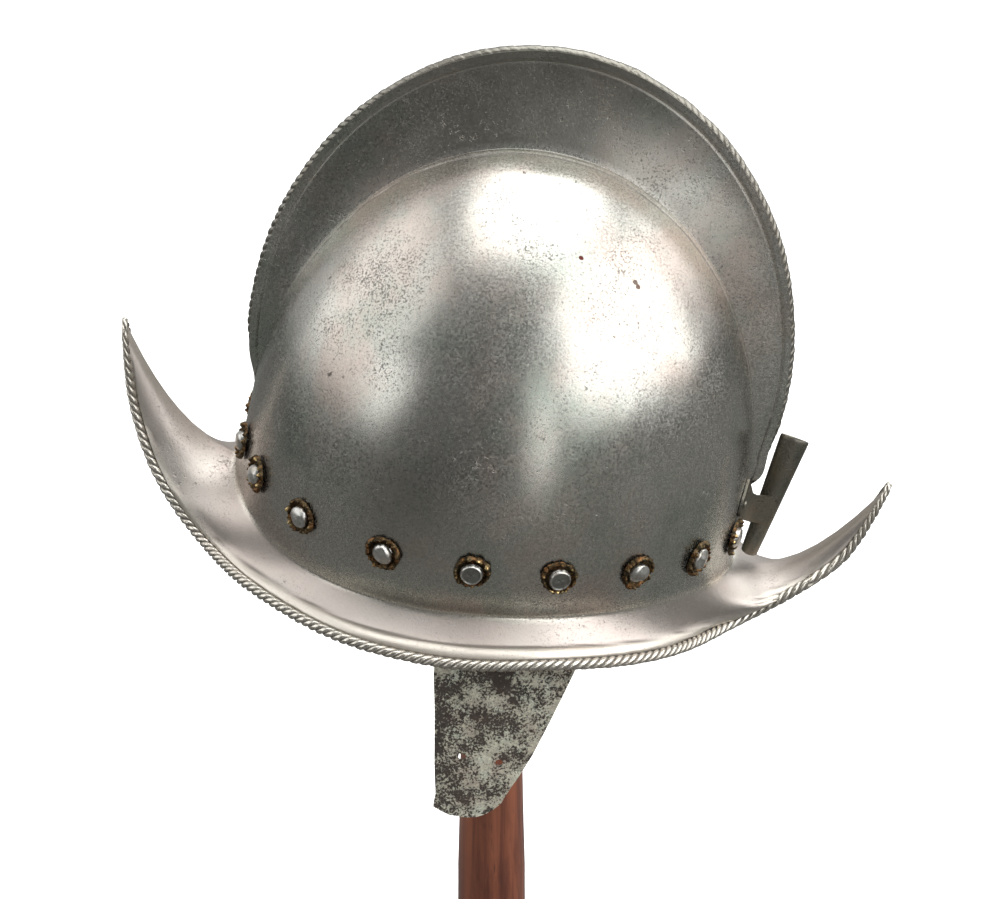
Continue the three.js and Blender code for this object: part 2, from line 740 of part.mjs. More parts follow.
const helmet = new THREE.Group();
helmet.add(named("helmet_shell", toGeometry(shell), steel));
rivets.forEach(({ frame, depth }, index) => {
  const number = String(index + 1).padStart(2, "0");
  const rivet = rivetGeometry(frame, {
    seat: 2 * gap + rosetteThickness,
    headRadius: rivetHeadRadius,
    headHeight: rivetHeadHeight,
    shankRadius: rivetShankRadius,
    tailRadius: rivetTailRadius,
    tailHeight: rivetTailHeight,
    depth,
  });
  helmet.add(named(`rivet_${number}`, rivet, steel));
  helmet.add(named(`rosette_${number}`, rosetteGeometry(frame), brass));
});
for (const [name, side] of [["left", -1], ["right", 1]]) {
  helmet.add(named(`cheek_plate_${name}`, cheekGeometry(side), pittedSteel));
  const earRivet = rivetGeometry(earFrame(side), {
    seat: 2 * gap + earThickness + earRivetClearance,
    headRadius: earRivetHeadRadius,
    headHeight: earRivetHeadHeight,
    shankRadius: earRivetShankRadius,
    tailRadius: earRivetHeadRadius,
    tailHeight: earRivetHeadHeight,
    depth: wall + rivetTailGap,
  });
  helmet.add(named(`plume_rivet_${name}`, earRivet, darkSteel));
}
helmet.add(named("plume_holder", plumeHolderGeometry(), darkSteel));
helmet.rotation.y = pitch;
helmet.position.set(-poleForward, 0, helmetHeight);

const morion = new THREE.Group();
morion.add(helmet);
const pole = named("stand_pole", poleGeometry(), wood);
morion.add(pole);
morion.add(named("stand_base", baseGeometry(), wood));

export default morion;
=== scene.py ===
# A comb morion of about 1580 on its wooden stand. Sizes are millimetres in the helmet's own frame: front
# at -x, the wearer's left at -y, z = 0 at the ends of the skull's foot. toFrame puts a point where the
# stand holds it.
import math
import bpy
import numpy as np
from mathutils import Matrix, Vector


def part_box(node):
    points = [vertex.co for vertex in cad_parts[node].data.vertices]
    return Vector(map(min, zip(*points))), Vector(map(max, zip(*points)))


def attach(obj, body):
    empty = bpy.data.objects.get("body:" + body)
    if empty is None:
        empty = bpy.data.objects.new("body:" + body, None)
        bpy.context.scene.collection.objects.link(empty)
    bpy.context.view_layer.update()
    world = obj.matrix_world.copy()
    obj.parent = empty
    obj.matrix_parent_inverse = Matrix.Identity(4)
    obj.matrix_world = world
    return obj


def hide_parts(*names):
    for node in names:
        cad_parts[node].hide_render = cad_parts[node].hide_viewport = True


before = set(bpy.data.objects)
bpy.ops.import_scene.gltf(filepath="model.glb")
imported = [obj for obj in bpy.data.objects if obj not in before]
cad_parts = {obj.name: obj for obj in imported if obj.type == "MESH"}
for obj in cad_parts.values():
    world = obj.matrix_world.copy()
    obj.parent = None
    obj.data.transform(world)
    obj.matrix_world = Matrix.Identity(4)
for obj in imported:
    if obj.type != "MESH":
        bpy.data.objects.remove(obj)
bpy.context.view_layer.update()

stand = {"pitch": 11.1, "forward": 2.9, "height": 290.0}

wall = {
    "thickness": 1.3,
    "clearance": 0.3,
    "dents": ((0.32, 70, 3), (0.14, 30, 5), (0.045, 13, 8)),  # height, wavelength and seed
}

skull = {
    "halfLength": 112.4,
    "halfWidth": 106.6,
    "rise": 141.9,
    "ringHeight": 36.4,
    "footHalfLength": 113.7,
    "footHalfWidth": 98.3,
    "footDip": 7.0,
    "footSway": 7.0,
    "footLean": 2.2,
}


# Turns helmet points by the pitch about the y axis, moves them up onto the post, and gives metres.
def toFrame(points):
    turn = math.radians(stand["pitch"])
    x, y, z = points[..., 0], points[..., 1], points[..., 2]
    placed = (
        x * math.cos(turn) + z * math.sin(turn) - stand["forward"],
        y,
        z * math.cos(turn) - x * math.sin(turn) + stand["height"],
    )
    return np.stack(placed, -1) / 1000


# An S-shaped rise from 0 at low to 1 at high: three times the share's square less twice its cube.
def smooth(low, high, value):
    share = np.clip((value - low) / (high - low), 0, 1)
    return share * share * (3 - 2 * share)


# A bell curve: e to the power of minus the square of the distance from the centre over the width.
def bell(value, centre, width):
    return np.exp(-(((value - centre) / width) ** 2))


# Vectors divided by their lengths.
def unit(vectors):
    return vectors / np.maximum(np.linalg.norm(vectors, axis=-1, keepdims=True), 1e-12)


# Even turns once round, without the last one, which is the first again.
def fullRing(count):
    return np.linspace(0, 2 * math.pi, count, endpoint=False)[None]


# Points at a radius, a turn about the third axis and a height.
def roundPoints(radius, ring, height):
    return np.stack(np.broadcast_arrays(radius * np.cos(ring), radius * np.sin(ring), height), -1)


# Soft unevenness as a sum of plane waves of seeded directions. The result stays within about -1 to 1.
def unevenness(points, wavelength, seed, waves=9):
    rng = np.random.default_rng(seed)
    directions = unit(rng.normal(size=(waves, 3)))
    lengths = wavelength * rng.uniform(0.7, 1.5, waves)
    phases = rng.uniform(0, 2 * math.pi, waves)
    angles = np.tensordot(points, directions.T, 1) * 2 * math.pi / lengths + phases
    return np.sin(angles).sum(-1) / waves ** 0.5 / 1.5


# Outward direction at each grid point: the cross product of the steps along the rows and down the columns.
def gridNormals(grid, wrap=False):
    if wrap:
        along = np.roll(grid, -1, 1) - np.roll(grid, 1, 1)
    else:
        along = np.gradient(grid, axis=1)
    return unit(np.cross(np.gradient(grid, axis=0), along))


# The corners of each cell of a grid, numbered along its rows. A wrapped grid joins its last column to the
# first.
def gridQuads(rows, columns, wrap=False):
    row = np.arange(rows - 1)[:, None]
    column = np.arange(columns if wrap else columns - 1)[None, :]
    after = (column + 1) % columns
    corners = (
        row * columns + column,
        (row + 1) * columns + column,
        (row + 1) * columns + after,
        row * columns + after,
    )
    return np.stack(np.broadcast_arrays(*corners), -1).reshape(-1, 4)


# Joins patches of helmet points into one mesh. A patch is (grid, wrap, flip, values), where values holds
# one array for each named attribute. Points closer than a thousandth of a millimetre become one, and flat
# quads go.
def buildPiece(name, patches, sharpAngle=40, inFrame=False):
    points, quads, start = [], [], 0
    values = {}
    for grid, wrap, flip, marks in patches:
        rows, columns = grid.shape[:2]
        faces = gridQuads(rows, columns, wrap)
        quads.append((faces[:, ::-1] if flip else faces) + start)
        points.append(grid.reshape(-1, 3))
        start += rows * columns
        for key, mark in marks.items():
            values.setdefault(key, []).append(np.broadcast_to(mark, (rows, columns)).reshape(-1))
    points, quads = np.concatenate(points), np.concatenate(quads)
    whole = np.round(points * 1000).astype(np.int64)
    _, first, index = np.unique(whole, axis=0, return_index=True, return_inverse=True)
    quads = index.reshape(-1)[quads]
    points = points[first]
    same = quads == np.roll(quads, -1, 1)
    crossed = (quads[:, 0] == quads[:, 2]) | (quads[:, 1] == quads[:, 3])
    count = np.where(crossed, 2, same.sum(1))
    whole, thin = quads[count == 0], quads[count == 1]
    drop = same[count == 1].argmax(1)
    keep = np.array([[1, 2, 3], [2, 3, 0], [3, 0, 1], [0, 1, 2]])[drop]
    triangles = np.take_along_axis(thin, keep, 1)
    loops = np.concatenate([whole.reshape(-1), triangles.reshape(-1)])
    starts = np.concatenate([np.arange(len(whole)) * 4, len(whole) * 4 + np.arange(len(triangles)) * 3])
    placed = points / 1000 if inFrame else toFrame(points)
    mesh = bpy.data.meshes.new(name)
    mesh.vertices.add(len(placed))
    mesh.vertices.foreach_set("co", placed.astype(np.float32).reshape(-1))
    mesh.loops.add(len(loops))
    mesh.loops.foreach_set("vertex_index", loops.astype(np.int32))
    mesh.polygons.add(len(starts))
    mesh.polygons.foreach_set("loop_start", starts.astype(np.int32))
    mesh.polygons.foreach_set("use_smooth", np.ones(len(starts), dtype=bool))
    mesh.update(calc_edges=True)
    mesh.validate()
    mesh.set_sharp_from_angle(angle=math.radians(sharpAngle))
    for key, marks in values.items():
        layer = mesh.attributes.new(key, "FLOAT", "POINT")
        layer.data.foreach_set("value", np.concatenate(marks)[first].astype(np.float32))
    piece = bpy.data.objects.new(name, mesh)
    bpy.context.scene.collection.objects.link(piece)
    return piece


# Gives a piece its material, hides the solids it replaces and lets it ride on the body.
def dress(piece, material, slot, *nodes):
    piece.data.materials.clear()
    piece.data.materials.append(material)
    if nodes:
        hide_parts(*nodes)
    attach(piece, "root")
    return piece


# The foot's height: it dips with the square of the turn's sine and sways with the sine of twice the turn.
def footHeight(turn):
    return -skull["footDip"] * np.sin(turn) ** 2 - skull["footSway"] * np.sin(2 * turn)


# The skull's wall: ellipses that lean in from the widest ring, share 0, to the foot, share 1. Inset draws
# them in.
def wallPoint(turn, share, inset=0.0):
    lean = np.minimum(share, 1) ** skull["footLean"]
    halfLength = skull["halfLength"] + (skull["footHalfLength"] - skull["halfLength"]) * lean - inset
    halfWidth = skull["halfWidth"] + (skull["footHalfWidth"] - skull["halfWidth"]) * lean - inset
    height = skull["ringHeight"] + (footHeight(turn) - skull["ringHeight"]) * share
    return np.stack(np.broadcast_arrays(-halfLength * np.cos(turn), -halfWidth * np.sin(turn), height), -1)


# A frame on the skull's wall: its origin on the outer face, then the level direction, the upward one and
# outward.
def wallFrame(turn, side, height):
    share = (skull["ringHeight"] - height) / (skull["ringHeight"] - footHeight(turn))
    flip = np.array([1, -side, 1])
    step = 0.01
    around = (wallPoint(turn + step, share) - wallPoint(turn - step, share)) * flip
    down = (wallPoint(turn, share + step) - wallPoint(turn, share - step)) * flip
    outward = unit(np.cross(around, down))
    outward *= 1 if outward[1] * side >= 0 else -1
    level = unit(around)
    upward = np.cross(outward, level)
    return wallPoint(turn, share) * flip, level, upward, outward


comb = {
    "halfLength": 119.8,
    "rise": 141.4,
    "centreHeight": 79.4,
    "rootHalfThickness": 9.8,
    "edgeHalfThickness": 2.9,
    "endShare": 0.45,
    "heel": 4.0,              # how much further back the crest's lower back end reaches than the ellipse
    "border": 4.5,            # from the edge to the engraved line that borders it
    "borderDepth": 0.5,
    "rootLines": (0.9, 5.4),  # engraved lines on the skull beside the comb's root
    "rootLineDepth": 0.3,
    "ropeRadius": 2.7,
    "ropeInset": 1.1,
    "chips": ((0.9, 1.84, 0.045), (0.6, 1.98, 0.02), (0.5, 1.66, 0.03)),  # depth, turn and width
}

brim = {
    "halfLength": 174.0,
    "halfWidth": 113.4,
    "tipHeight": 51.5,
    "sagFront": 10.5,
    "sagSide": 1.2,
    "sagBack": 15.0,
    "band": (2.0, 8.2),       # raised band inside the rope, in distances from the edge
    "bandTaper": 0.46,        # share of its width that is left at the points
    "bandRise": 0.8,
    "bandStep": 0.45,
    "groove": 0.55,
    "ropeRadius": 2.45,
    "ropeShift": 0.8,         # the rope's middle lies this far outside the edge
    "tipShare": 0.6,
}

brimRopeLook = {"pitch": 4.15, "depth": 0.95, "cutWidth": 0.46, "starts": -3, "ringSteps": 14, "perLobe": 7}
combRopeLook = {"pitch": 4.0, "depth": 0.5, "cutWidth": 0.42, "starts": 3, "ringSteps": 12, "perLobe": 6}

# The brim's edge from the front point round to the back one: reach, half width and height, as shares.
brimEdge = np.array([
    (-1, 0, 1),
    (-0.992, 0.028, 0.9),
    (-0.93, 0.06, 0.252),
    (-0.845, 0.137, -0.198),
    (-0.7, 0.289, -0.559),
    (-0.5, 0.686, -0.538),
    (-0.25, 0.951, -0.487),
    (0, 1, -0.437),
    (0.25, 0.951, -0.303),
    (0.5, 0.686, -0.307),
    (0.7, 0.228, -0.324),
    (0.845, 0.124, 0.024),
    (0.93, 0.06, 0.311),
    (0.992, 0.028, 0.9),
    (1, 0, 1),
])


# Centripetal Catmull-Rom curve through the edge's rows, read at even steps of its length.
def edgeCurve(samples=60):
    rows = brimEdge * np.array([brim["halfLength"], -brim["halfWidth"], brim["tipHeight"]])
    rows = np.concatenate([2 * rows[:1] - rows[1:2], rows, 2 * rows[-1:] - rows[-2:-1]])
    share = np.linspace(0, 1, samples, endpoint=False)[None, :, None]
    knots = [rows[i:len(rows) - 3 + i][:, None] for i in range(4)]
    gaps = [np.linalg.norm(knots[i + 1] - knots[i], axis=-1, keepdims=True) ** 0.5 for i in range(3)]
    startSlope = (knots[1] - knots[0]) / gaps[0] - (knots[2] - knots[0]) / (gaps[0] + gaps[1])
    startSlope = (startSlope + (knots[2] - knots[1]) / gaps[1]) * gaps[1]
    endSlope = (knots[2] - knots[1]) / gaps[1] - (knots[3] - knots[1]) / (gaps[1] + gaps[2])
    endSlope = (endSlope + (knots[3] - knots[2]) / gaps[2]) * gaps[1]
    cubic = 2 * knots[1] - 2 * knots[2] + startSlope + endSlope
    square = -3 * knots[1] + 3 * knots[2] - 2 * startSlope - endSlope
    points = cubic * share ** 3 + square * share ** 2 + startSlope * share + knots[1]
    points = np.concatenate([points.reshape(-1, 3), rows[-2:-1]])
    lengths = np.concatenate([[0], np.cumsum(np.linalg.norm(np.diff(points, axis=0), axis=1))])
    return points, lengths


edgePoints, edgeLengths = edgeCurve()


# The edge at a turn, which counts as a share of half a turn along the curve's length.
def readEdge(turn):
    along = np.clip(turn / math.pi, 0, 1) * edgeLengths[-1]
    return np.stack([np.interp(along, edgeLengths, edgePoints[:, i]) for i in range(3)], -1)


# The brim: straight from the foot to the edge, less a parabola whose depth grows towards the points.
def brimPoint(turn, share):
    start, end = wallPoint(turn, np.ones_like(turn)), readEdge(turn)
    points = start + (end - start) * share[..., None]
    ends = np.where(np.cos(turn) > 0, brim["sagFront"], brim["sagBack"])
    sag = brim["sagSide"] + (ends - brim["sagSide"]) * np.abs(np.cos(turn)) ** 6
    points[..., 2] -= 4 * sag * share * (1 - share)
    return points


# Distance from each point to the brim's edge curve on its own side.
def distanceToEdge(grid):
    curve = edgePoints[::2]
    return np.stack([np.linalg.norm(row[:, None] - curve[None], axis=-1).min(1) for row in grid])


# Half sections of the dome and comb, from the ring up: dome rows by turn, then the comb's flank, whose half
# thickness falls from root to edge as a parabola. The crest follows the comb's ellipse.
def domeGrid(turn, domeShares, flankDistances, inset=0.0, edgeInset=0.0):
    spread = np.maximum(np.sin(turn), 1e-6)
    halfLength, halfWidth = skull["halfLength"] - inset, skull["halfWidth"] - inset
    rise = skull["rise"] - inset
    root = np.maximum(comb["rootHalfThickness"] * np.sqrt(spread) - inset, 0.5)
    root = np.minimum(root, 0.9 * halfWidth * spread)
    edge = np.maximum(comb["edgeHalfThickness"] * np.minimum(1, comb["endShare"] + 2 * spread) - inset, 0.5)
    edge = np.minimum(edge, root)
    rootTurn = np.arccos(np.minimum(root / (halfWidth * spread), 1))
    low = math.asin((skull["ringHeight"] - comb["centreHeight"]) / comb["rise"])
    combTurn = low + (math.pi - 2 * low) * turn / math.pi
    crest = np.stack([
        -(comb["halfLength"] - edgeInset) * np.cos(combTurn),
        0 * turn,
        comb["centreHeight"] + (comb["rise"] - edgeInset) * np.sin(combTurn),
    ], -1)
    angle = domeShares[:, None] * rootTurn[None]
    dome = np.stack(np.broadcast_arrays(
        -halfLength * np.cos(turn)[None],
        -halfWidth * spread[None] * np.cos(angle),
        skull["ringHeight"] + rise * spread[None] * np.sin(angle),
    ), -1)
    heel = smooth(62, 32, crest[:, 2]) * (np.cos(turn) < 0)
    crest[:, 0] += comb["heel"] * heel
    base = dome[-1]
    rising = 1 - np.exp(-((spread / np.where(np.cos(turn) < 0, 0.03, 0.05)) ** 2))
    crest = base + (crest - base) * np.where(np.arange(3) == 1, 1, rising[:, None])
    height = np.linalg.norm((crest - base)[:, [0, 2]], axis=-1)
    reach = flankDistances[:, None] * np.minimum(1, 0.9 * height / flankDistances[-1])[None]
    far = np.linspace(0, 1, 10)[:, None] * np.maximum(height - reach[-1], 0)[None]
    up = np.concatenate([far[:-1], height[None] - reach[::-1]])
    share = up / np.maximum(height, 1e-6)[None]
    out = edge + (root - edge) * (1 - share) ** 2
    flank = base[None] + (crest - base)[None] * share[..., None]
    flank[..., 1] = -out
    toCrest = height[None] - up
    return dome, flank[1:], angle, rootTurn, toCrest[1:], crest


# The shell's left half as rows from the brim's edge up to the comb's, lifted along the normals by bands,
# grooves, lines and dents, then its inner face, and the same mirrored.
def shellPatches(columns):
    turn = np.linspace(0, math.pi, columns + 1)
    spread = np.sin(turn)
    domeShares = np.concatenate([
        np.linspace(0, 0.88, 22, endpoint=False),
        np.linspace(0.88, 1, 22),
    ])
    flankDistances = np.array([0, 1.4, 2.6, 3.6, 4.8, 5.6, 6.1, 6.4, 6.6, 6.8, 7.1, 7.6, 8.6, 10.5, 13])
    dome, flank, angle, rootTurn, toCrest, crest = domeGrid(turn, domeShares, flankDistances)
    creaseDistances = np.array([4.2, 2.6, 1.5, 0.7])
    wallShares = np.concatenate([[1], 1 - creaseDistances[::-1] / 43, np.linspace(0.83, 0, 11)])
    skirt = wallPoint(turn[None], wallShares[:, None])
    start, end = brim["band"]
    bandScale = brim["bandTaper"] + (1 - brim["bandTaper"]) * spread ** 3
    brimDistances = np.concatenate([
        [0, 0.9, 1.4, 1.7, 2.0, 2.4, 3.0, 3.8, 4.8, 5.8],
        [6.7, 7.3, 7.7, 8.0, 8.3, 8.7, 9.4, 10.6],
    ])
    width = np.linalg.norm(readEdge(turn) - wallPoint(turn, np.ones_like(turn)), axis=-1)
    past = np.maximum(brimDistances - start, 0)
    rows = np.minimum(brimDistances, start)[:, None] + past[:, None] * bandScale[None]
    fine = 1 - rows / width[None]
    crease = np.append(creaseDistances, 0)[:, None] / width[None]
    inner = fine[-1] + (crease[0] - fine[-1]) * np.linspace(0, 1, 9)[1:-1, None]
    share = np.concatenate([fine, inner, crease])
    plate = brimPoint(np.broadcast_to(turn, share.shape), share)
    outer = np.concatenate([plate, skirt[1:], dome[1:], flank])
    corner = len(plate) - 1
    for _ in range(5):
        outer[corner - 3:corner + 4] = (outer[corner - 4:corner + 3] + 2 * outer[corner - 3:corner + 4]
                                        + outer[corner - 2:corner + 5]) / 4
    plate = outer[:corner + 1]
    normals = -gridNormals(outer)
    normals[:, [0, -1], 1] = 0
    normals = unit(normals)

    lift = np.zeros(outer.shape[:2])
    lines = np.zeros(outer.shape[:2])
    rim = np.zeros(outer.shape[:2])
    plateRows = slice(0, len(plate))
    away = distanceToEdge(plate)
    away = np.minimum(away, start) + np.maximum(away - start, 0) / bandScale[None]
    fromTip = np.minimum(edgeLengths[-1] * turn / math.pi, edgeLengths[-1] * (1 - turn / math.pi))
    fade = smooth(8, 45, fromTip)[None]
    middle = np.clip((away - start) / (end - start), 0, 1)
    band = brim["bandRise"] * bandScale[None] * np.sin(math.pi * middle) ** 0.8 * (away < end)
    step = brim["bandStep"] * (1 - smooth(end - 0.6, end + 0.5, away)) * (away > start)
    groove = -brim["groove"] * bell(away, start - 0.1, 0.55)
    footAway = np.linalg.norm(plate - plate[-1:], axis=-1)
    lift[plateRows] = (band + step + groove) * fade
    lines[plateRows] = np.maximum(bell(away, start - 0.1, 0.5), 0.8 * bell(away, end + 0.5, 0.5)) * fade
    # rim is a painted highlight on the raised band by the edge and along the foot's crease
    rim[plateRows] = np.maximum(smooth(end + 0.2, end - 1.2, away) * fade, bell(footAway, 0, 1.6))
    skirtRows = slice(len(plate), len(plate) + len(skirt) - 1)
    # the same painted highlight on the skirt's side of the foot's crease
    rim[skirtRows] = bell(np.linalg.norm(skirt[1:] - skirt[:1], axis=-1), 0, 1.8)
    warm = np.zeros(outer.shape[:2])
    warm[plateRows] = smooth(0, 3, footAway)

    domeStart = len(plate) + len(skirt) - 1
    domeRows = slice(domeStart, domeStart + len(dome) - 1)
    lineFade = smooth(0.12, 0.5, spread)[None]
    toRoot = (rootTurn[None] - angle[1:]) * (skull["halfWidth"] * 0.6 + skull["rise"] * 0.4) * spread[None]
    for place in comb["rootLines"]:
        mark = bell(toRoot, place, 0.42) * lineFade
        lift[domeRows] -= comb["rootLineDepth"] * mark
        wide = np.minimum(1.5 * bell(toRoot, place, 0.5) * lineFade, 1)
        lines[domeRows] = np.maximum(lines[domeRows], wide)
    between = np.clip((toRoot - comb["rootLines"][0]) / 4.5, 0, 1)
    lift[domeRows] += 0.22 * np.sin(math.pi * between) * lineFade
    flankRows = slice(outer.shape[0] - len(flank), outer.shape[0])
    border = bell(toCrest, comb["border"], 0.4)
    raised = smooth(comb["border"] + 0.3, comb["border"] - 0.6, toCrest)
    lift[flankRows] = -comb["borderDepth"] * border + 0.3 * raised
    lines[flankRows] = border
    # painted shade: a dark patch on the skull's side, a little in front of its middle
    darkerCombAndPaintedShade = 0.5 * bell(outer[..., 0], -34, 24) * bell(outer[..., 2], 44, 34)
    flankX, flankZ = outer[flankRows][..., 0], outer[flankRows][..., 2]
    # on the comb's flank the mark makes it darker towards the top
    darkerCombAndPaintedShade[flankRows] = bell(flankX, -18, 72) * smooth(100, 160, flankZ)

    dents = sum(height * unevenness(outer, length, seed) for height, length, seed in wall["dents"])
    calm = np.ones(outer.shape[:2])
    calm[plateRows] = 0.35 * smooth(2, 20, away)
    calm *= smooth(0, 0.12, spread)[None]
    lift += dents * calm
    shaped = outer + normals * lift[..., None]
    shaped[:, [0, -1], 1] = 0

    # the inner face follows the bare section at the plate's thickness, with fewer rows
    innerRows, innerFlanks = np.linspace(0, 1, 9), np.array([0, 3.0, 8.0])
    innerDome, innerFlank, *_ = domeGrid(turn, innerRows, innerFlanks, wall["thickness"], 3.2)
    innerSkirt = wallPoint(turn[None], np.linspace(1, 0, 6)[:, None], wall["thickness"])
    under = (plate - normals[plateRows] * wall["thickness"])[[0, 6, 14, 17, 19, 21, 23, 25]]
    under[:, [0, -1], 1] = 0
    inside = np.concatenate([under, innerSkirt, innerDome[1:], innerFlank])
    insideEnd = inside[-1].copy()
    insideEnd[:, 1] = 0
    inside = np.concatenate([inside, insideEnd[None]])
    ridge = shaped[-1].copy()
    ridge[:, 1] = 0
    shaped = np.concatenate([shaped, ridge[None]])
    marks = {"line": lines, "rim": rim, "comb": darkerCombAndPaintedShade, "brim": warm}
    marks = {key: np.vstack([values, values[-1:]]) for key, values in marks.items()}
    none = {key: 0 for key in marks}
    join = np.stack([shaped[0], inside[0]])
    mirror = np.array([1, -1, 1])
    patches = []
    for flip, turned in ((False, 1), (True, mirror)):
        patches.append((shaped * turned, False, not flip, marks))
        patches.append((inside * turned, False, flip, none))
        patches.append((join * turned, False, flip, none))
    return patches, crest


# A rope round a line: a tube whose radius dips at evenly spaced slanted cuts. The cuts' phase grows by
# one for each pitch along the line and by starts round the tube, and the grid's rows follow the cuts, so
# that each lobe stays clean. On an open line the rows that pass its ends are held there.
def ropePatch(path, inward, radius, look, closed, worn=None):
    source, sourceIn, sourceRadius = path, inward, radius
    wear = np.ones(len(path)) if worn is None else worn
    if closed:
        source, sourceIn = np.concatenate([path, path[:1]]), np.concatenate([inward, inward[:1]])
        sourceRadius, wear = np.append(radius, radius[0]), np.append(wear, wear[0])
    lengths = np.concatenate([[0], np.cumsum(np.linalg.norm(np.diff(source, axis=0), axis=1))])
    total = lengths[-1]
    lobes = round(total / look["pitch"])
    ring = np.linspace(0, 2 * math.pi, look["ringSteps"] + 1)[None]
    turns = look["starts"] * ring / (2 * math.pi)
    spare = 0 if closed else abs(look["starts"])
    perLobe = look["perLobe"]
    phase = np.arange(-spare * perLobe, (lobes + spare) * perLobe + 1)[:, None] / perLobe
    along = (phase - turns) / lobes
    along = np.mod(along, 1) if closed else np.clip(along, 0, 1)
    phase = along * lobes + turns
    along = along * total

    def read(values):
        return np.stack([np.interp(along, lengths, values[:, i]) for i in range(3)], -1)

    tangent = np.gradient(source, axis=0)
    if closed:
        tangent[0] = tangent[-1] = source[1] - source[-2]
    tangent = unit(read(tangent))
    inner = read(sourceIn)
    inner = unit(inner - tangent * (inner * tangent).sum(-1, keepdims=True))
    up = np.cross(inner, tangent)
    dip = np.exp(-((np.abs(np.sin(math.pi * phase)) / look["cutWidth"]) ** 2))
    dip = dip * np.interp(along, lengths, wear)
    lobe = np.floor(phase)
    uneven = (0.05 * np.sin(lobe * 12.9898) + 0.04 * np.sin(lobe * 4.1414 + 1)) * np.sin(ring / 2) ** 2
    tube = np.interp(along, lengths, sourceRadius) * (1 + uneven * (1 - dip)) - look["depth"] * dip
    direction = np.cos(ring)[..., None] * inner + np.sin(ring)[..., None] * up
    return read(source) + tube[..., None] * direction, dip


# The brim's rope follows the whole edge. Its inward direction, to the foot, is smoothed along the edge.
def brimRope():
    turn = np.linspace(0, math.pi, 1200)
    left = readEdge(turn)
    toFoot = brimPoint(turn, np.full_like(turn, 0.9)) - left
    mirror = np.array([1, -1, 1])
    path = np.concatenate([left[:-1], left[::-1][:-1] * mirror])
    inward = unit(np.concatenate([toFoot[:-1], toFoot[::-1][:-1] * mirror]))
    reach = 29
    share = np.hanning(2 * reach + 3)[1:-1]
    around = np.concatenate([inward[-reach:], inward, inward[:reach]])
    inward = unit(np.stack([np.convolve(around[:, i], share, "valid") for i in range(3)], -1))
    path = path - inward * brim["ropeShift"]
    tip = 1 - (1 - brim["tipShare"]) * np.exp(-((np.sin(turn) / 0.16) ** 2))
    radius = brim["ropeRadius"] * np.concatenate([tip[:-1], tip[::-1][:-1]])
    return ropePatch(path, inward, radius, brimRopeLook, True)


# The comb's rope follows the crest, worn smooth at the top and chipped in three places behind it.
def combRope(crest, turn):
    centre = np.array([0, 0, comb["centreHeight"]])
    outward = unit(crest - centre)
    ends = smooth(0.02, 0.2, np.sin(turn))
    path = crest - outward * (comb["ropeInset"] + 1.6 * (1 - ends))[:, None]
    radius = comb["ropeRadius"] * (0.55 + 0.45 * ends)
    worn = 1 - 0.85 * bell(turn, 1.52, 0.5)
    chips = sum(depth * bell(turn, place, width) for depth, place, width in comb["chips"])
    return ropePatch(path, -outward, radius * (1 - 0.32 * chips), combRopeLook, False, worn)


columns = 230
shellParts, crestLine = shellPatches(columns)
ropeGrid, ropeDip = brimRope()
combGrid, combDip = combRope(crestLine[4:-4], np.linspace(0, math.pi, columns + 1)[4:-4])
caps = [np.repeat(row.mean(1, keepdims=True), row.shape[1], 1) for row in (combGrid[:1], combGrid[-1:])]
combGrid = np.concatenate([caps[0], combGrid, caps[1]])
combDip = np.concatenate([combDip[:1], combDip, combDip[-1:]])
marks = {"rim": 0, "comb": 0, "brim": 0}
# the brim's rope takes the rim mark in full: a painted highlight all along it
shellParts.append((ropeGrid, False, False, {**marks, "line": ropeDip, "rim": 1}))
shellParts.append((combGrid, False, False, {**marks, "line": combDip, "comb": 1}))
shell = buildPiece("morion_shell", shellParts)
print("shell:", len(shell.data.loops) - 2 * len(shell.data.polygons), "triangles")


rivets = {
    "places": (0.067, 0.15, 0.262, 0.39, 0.502, 0.608, 0.715, 0.824, 0.935),
    "ringHeight": 18.7,
    "ringSway": 5.5,
    "radius": 4.8,
    "height": 3.0,
    "seat": 1.5,
    "flatRadius": 5.0,
    "flatHeight": 2.7,
    "shank": 2.0,
    "tailRadius": 3.3,
    "tailHeight": 1.1,
    "tailGap": 0.7,
    "flat": (4, 5),           # the two that hold the cheek plate
    "segments": 32,
}

rosette = {
    "radius": 8.1,
    "wave": 0.5,
    "petals": 8,
    "thickness": 0.45,
    "lift": 1.9,
    "floor": 5.3,
    "segments": 96,
    "rings": 16,
}

cheek = {
    "thickness": 1.3,
    "seatGap": 1.15,
    "top": 31.0,
    "bottom": -108.6,
    "front": -9.0,
    "back": 56.0,
    "holeRadius": 1.8,
    "holes": ((0.348, 0.782), (0.602, 0.786)),
    "lean": 0.035,
    "flatten": 0.55,
}


# Puts points given in a frame (level, up, out) where the frame stands.
def placeIn(wallPlace, points):
    origin, level, upward, outward = wallPlace
    return origin + points[..., :1] * level + points[..., 1:2] * upward + points[..., 2:] * outward


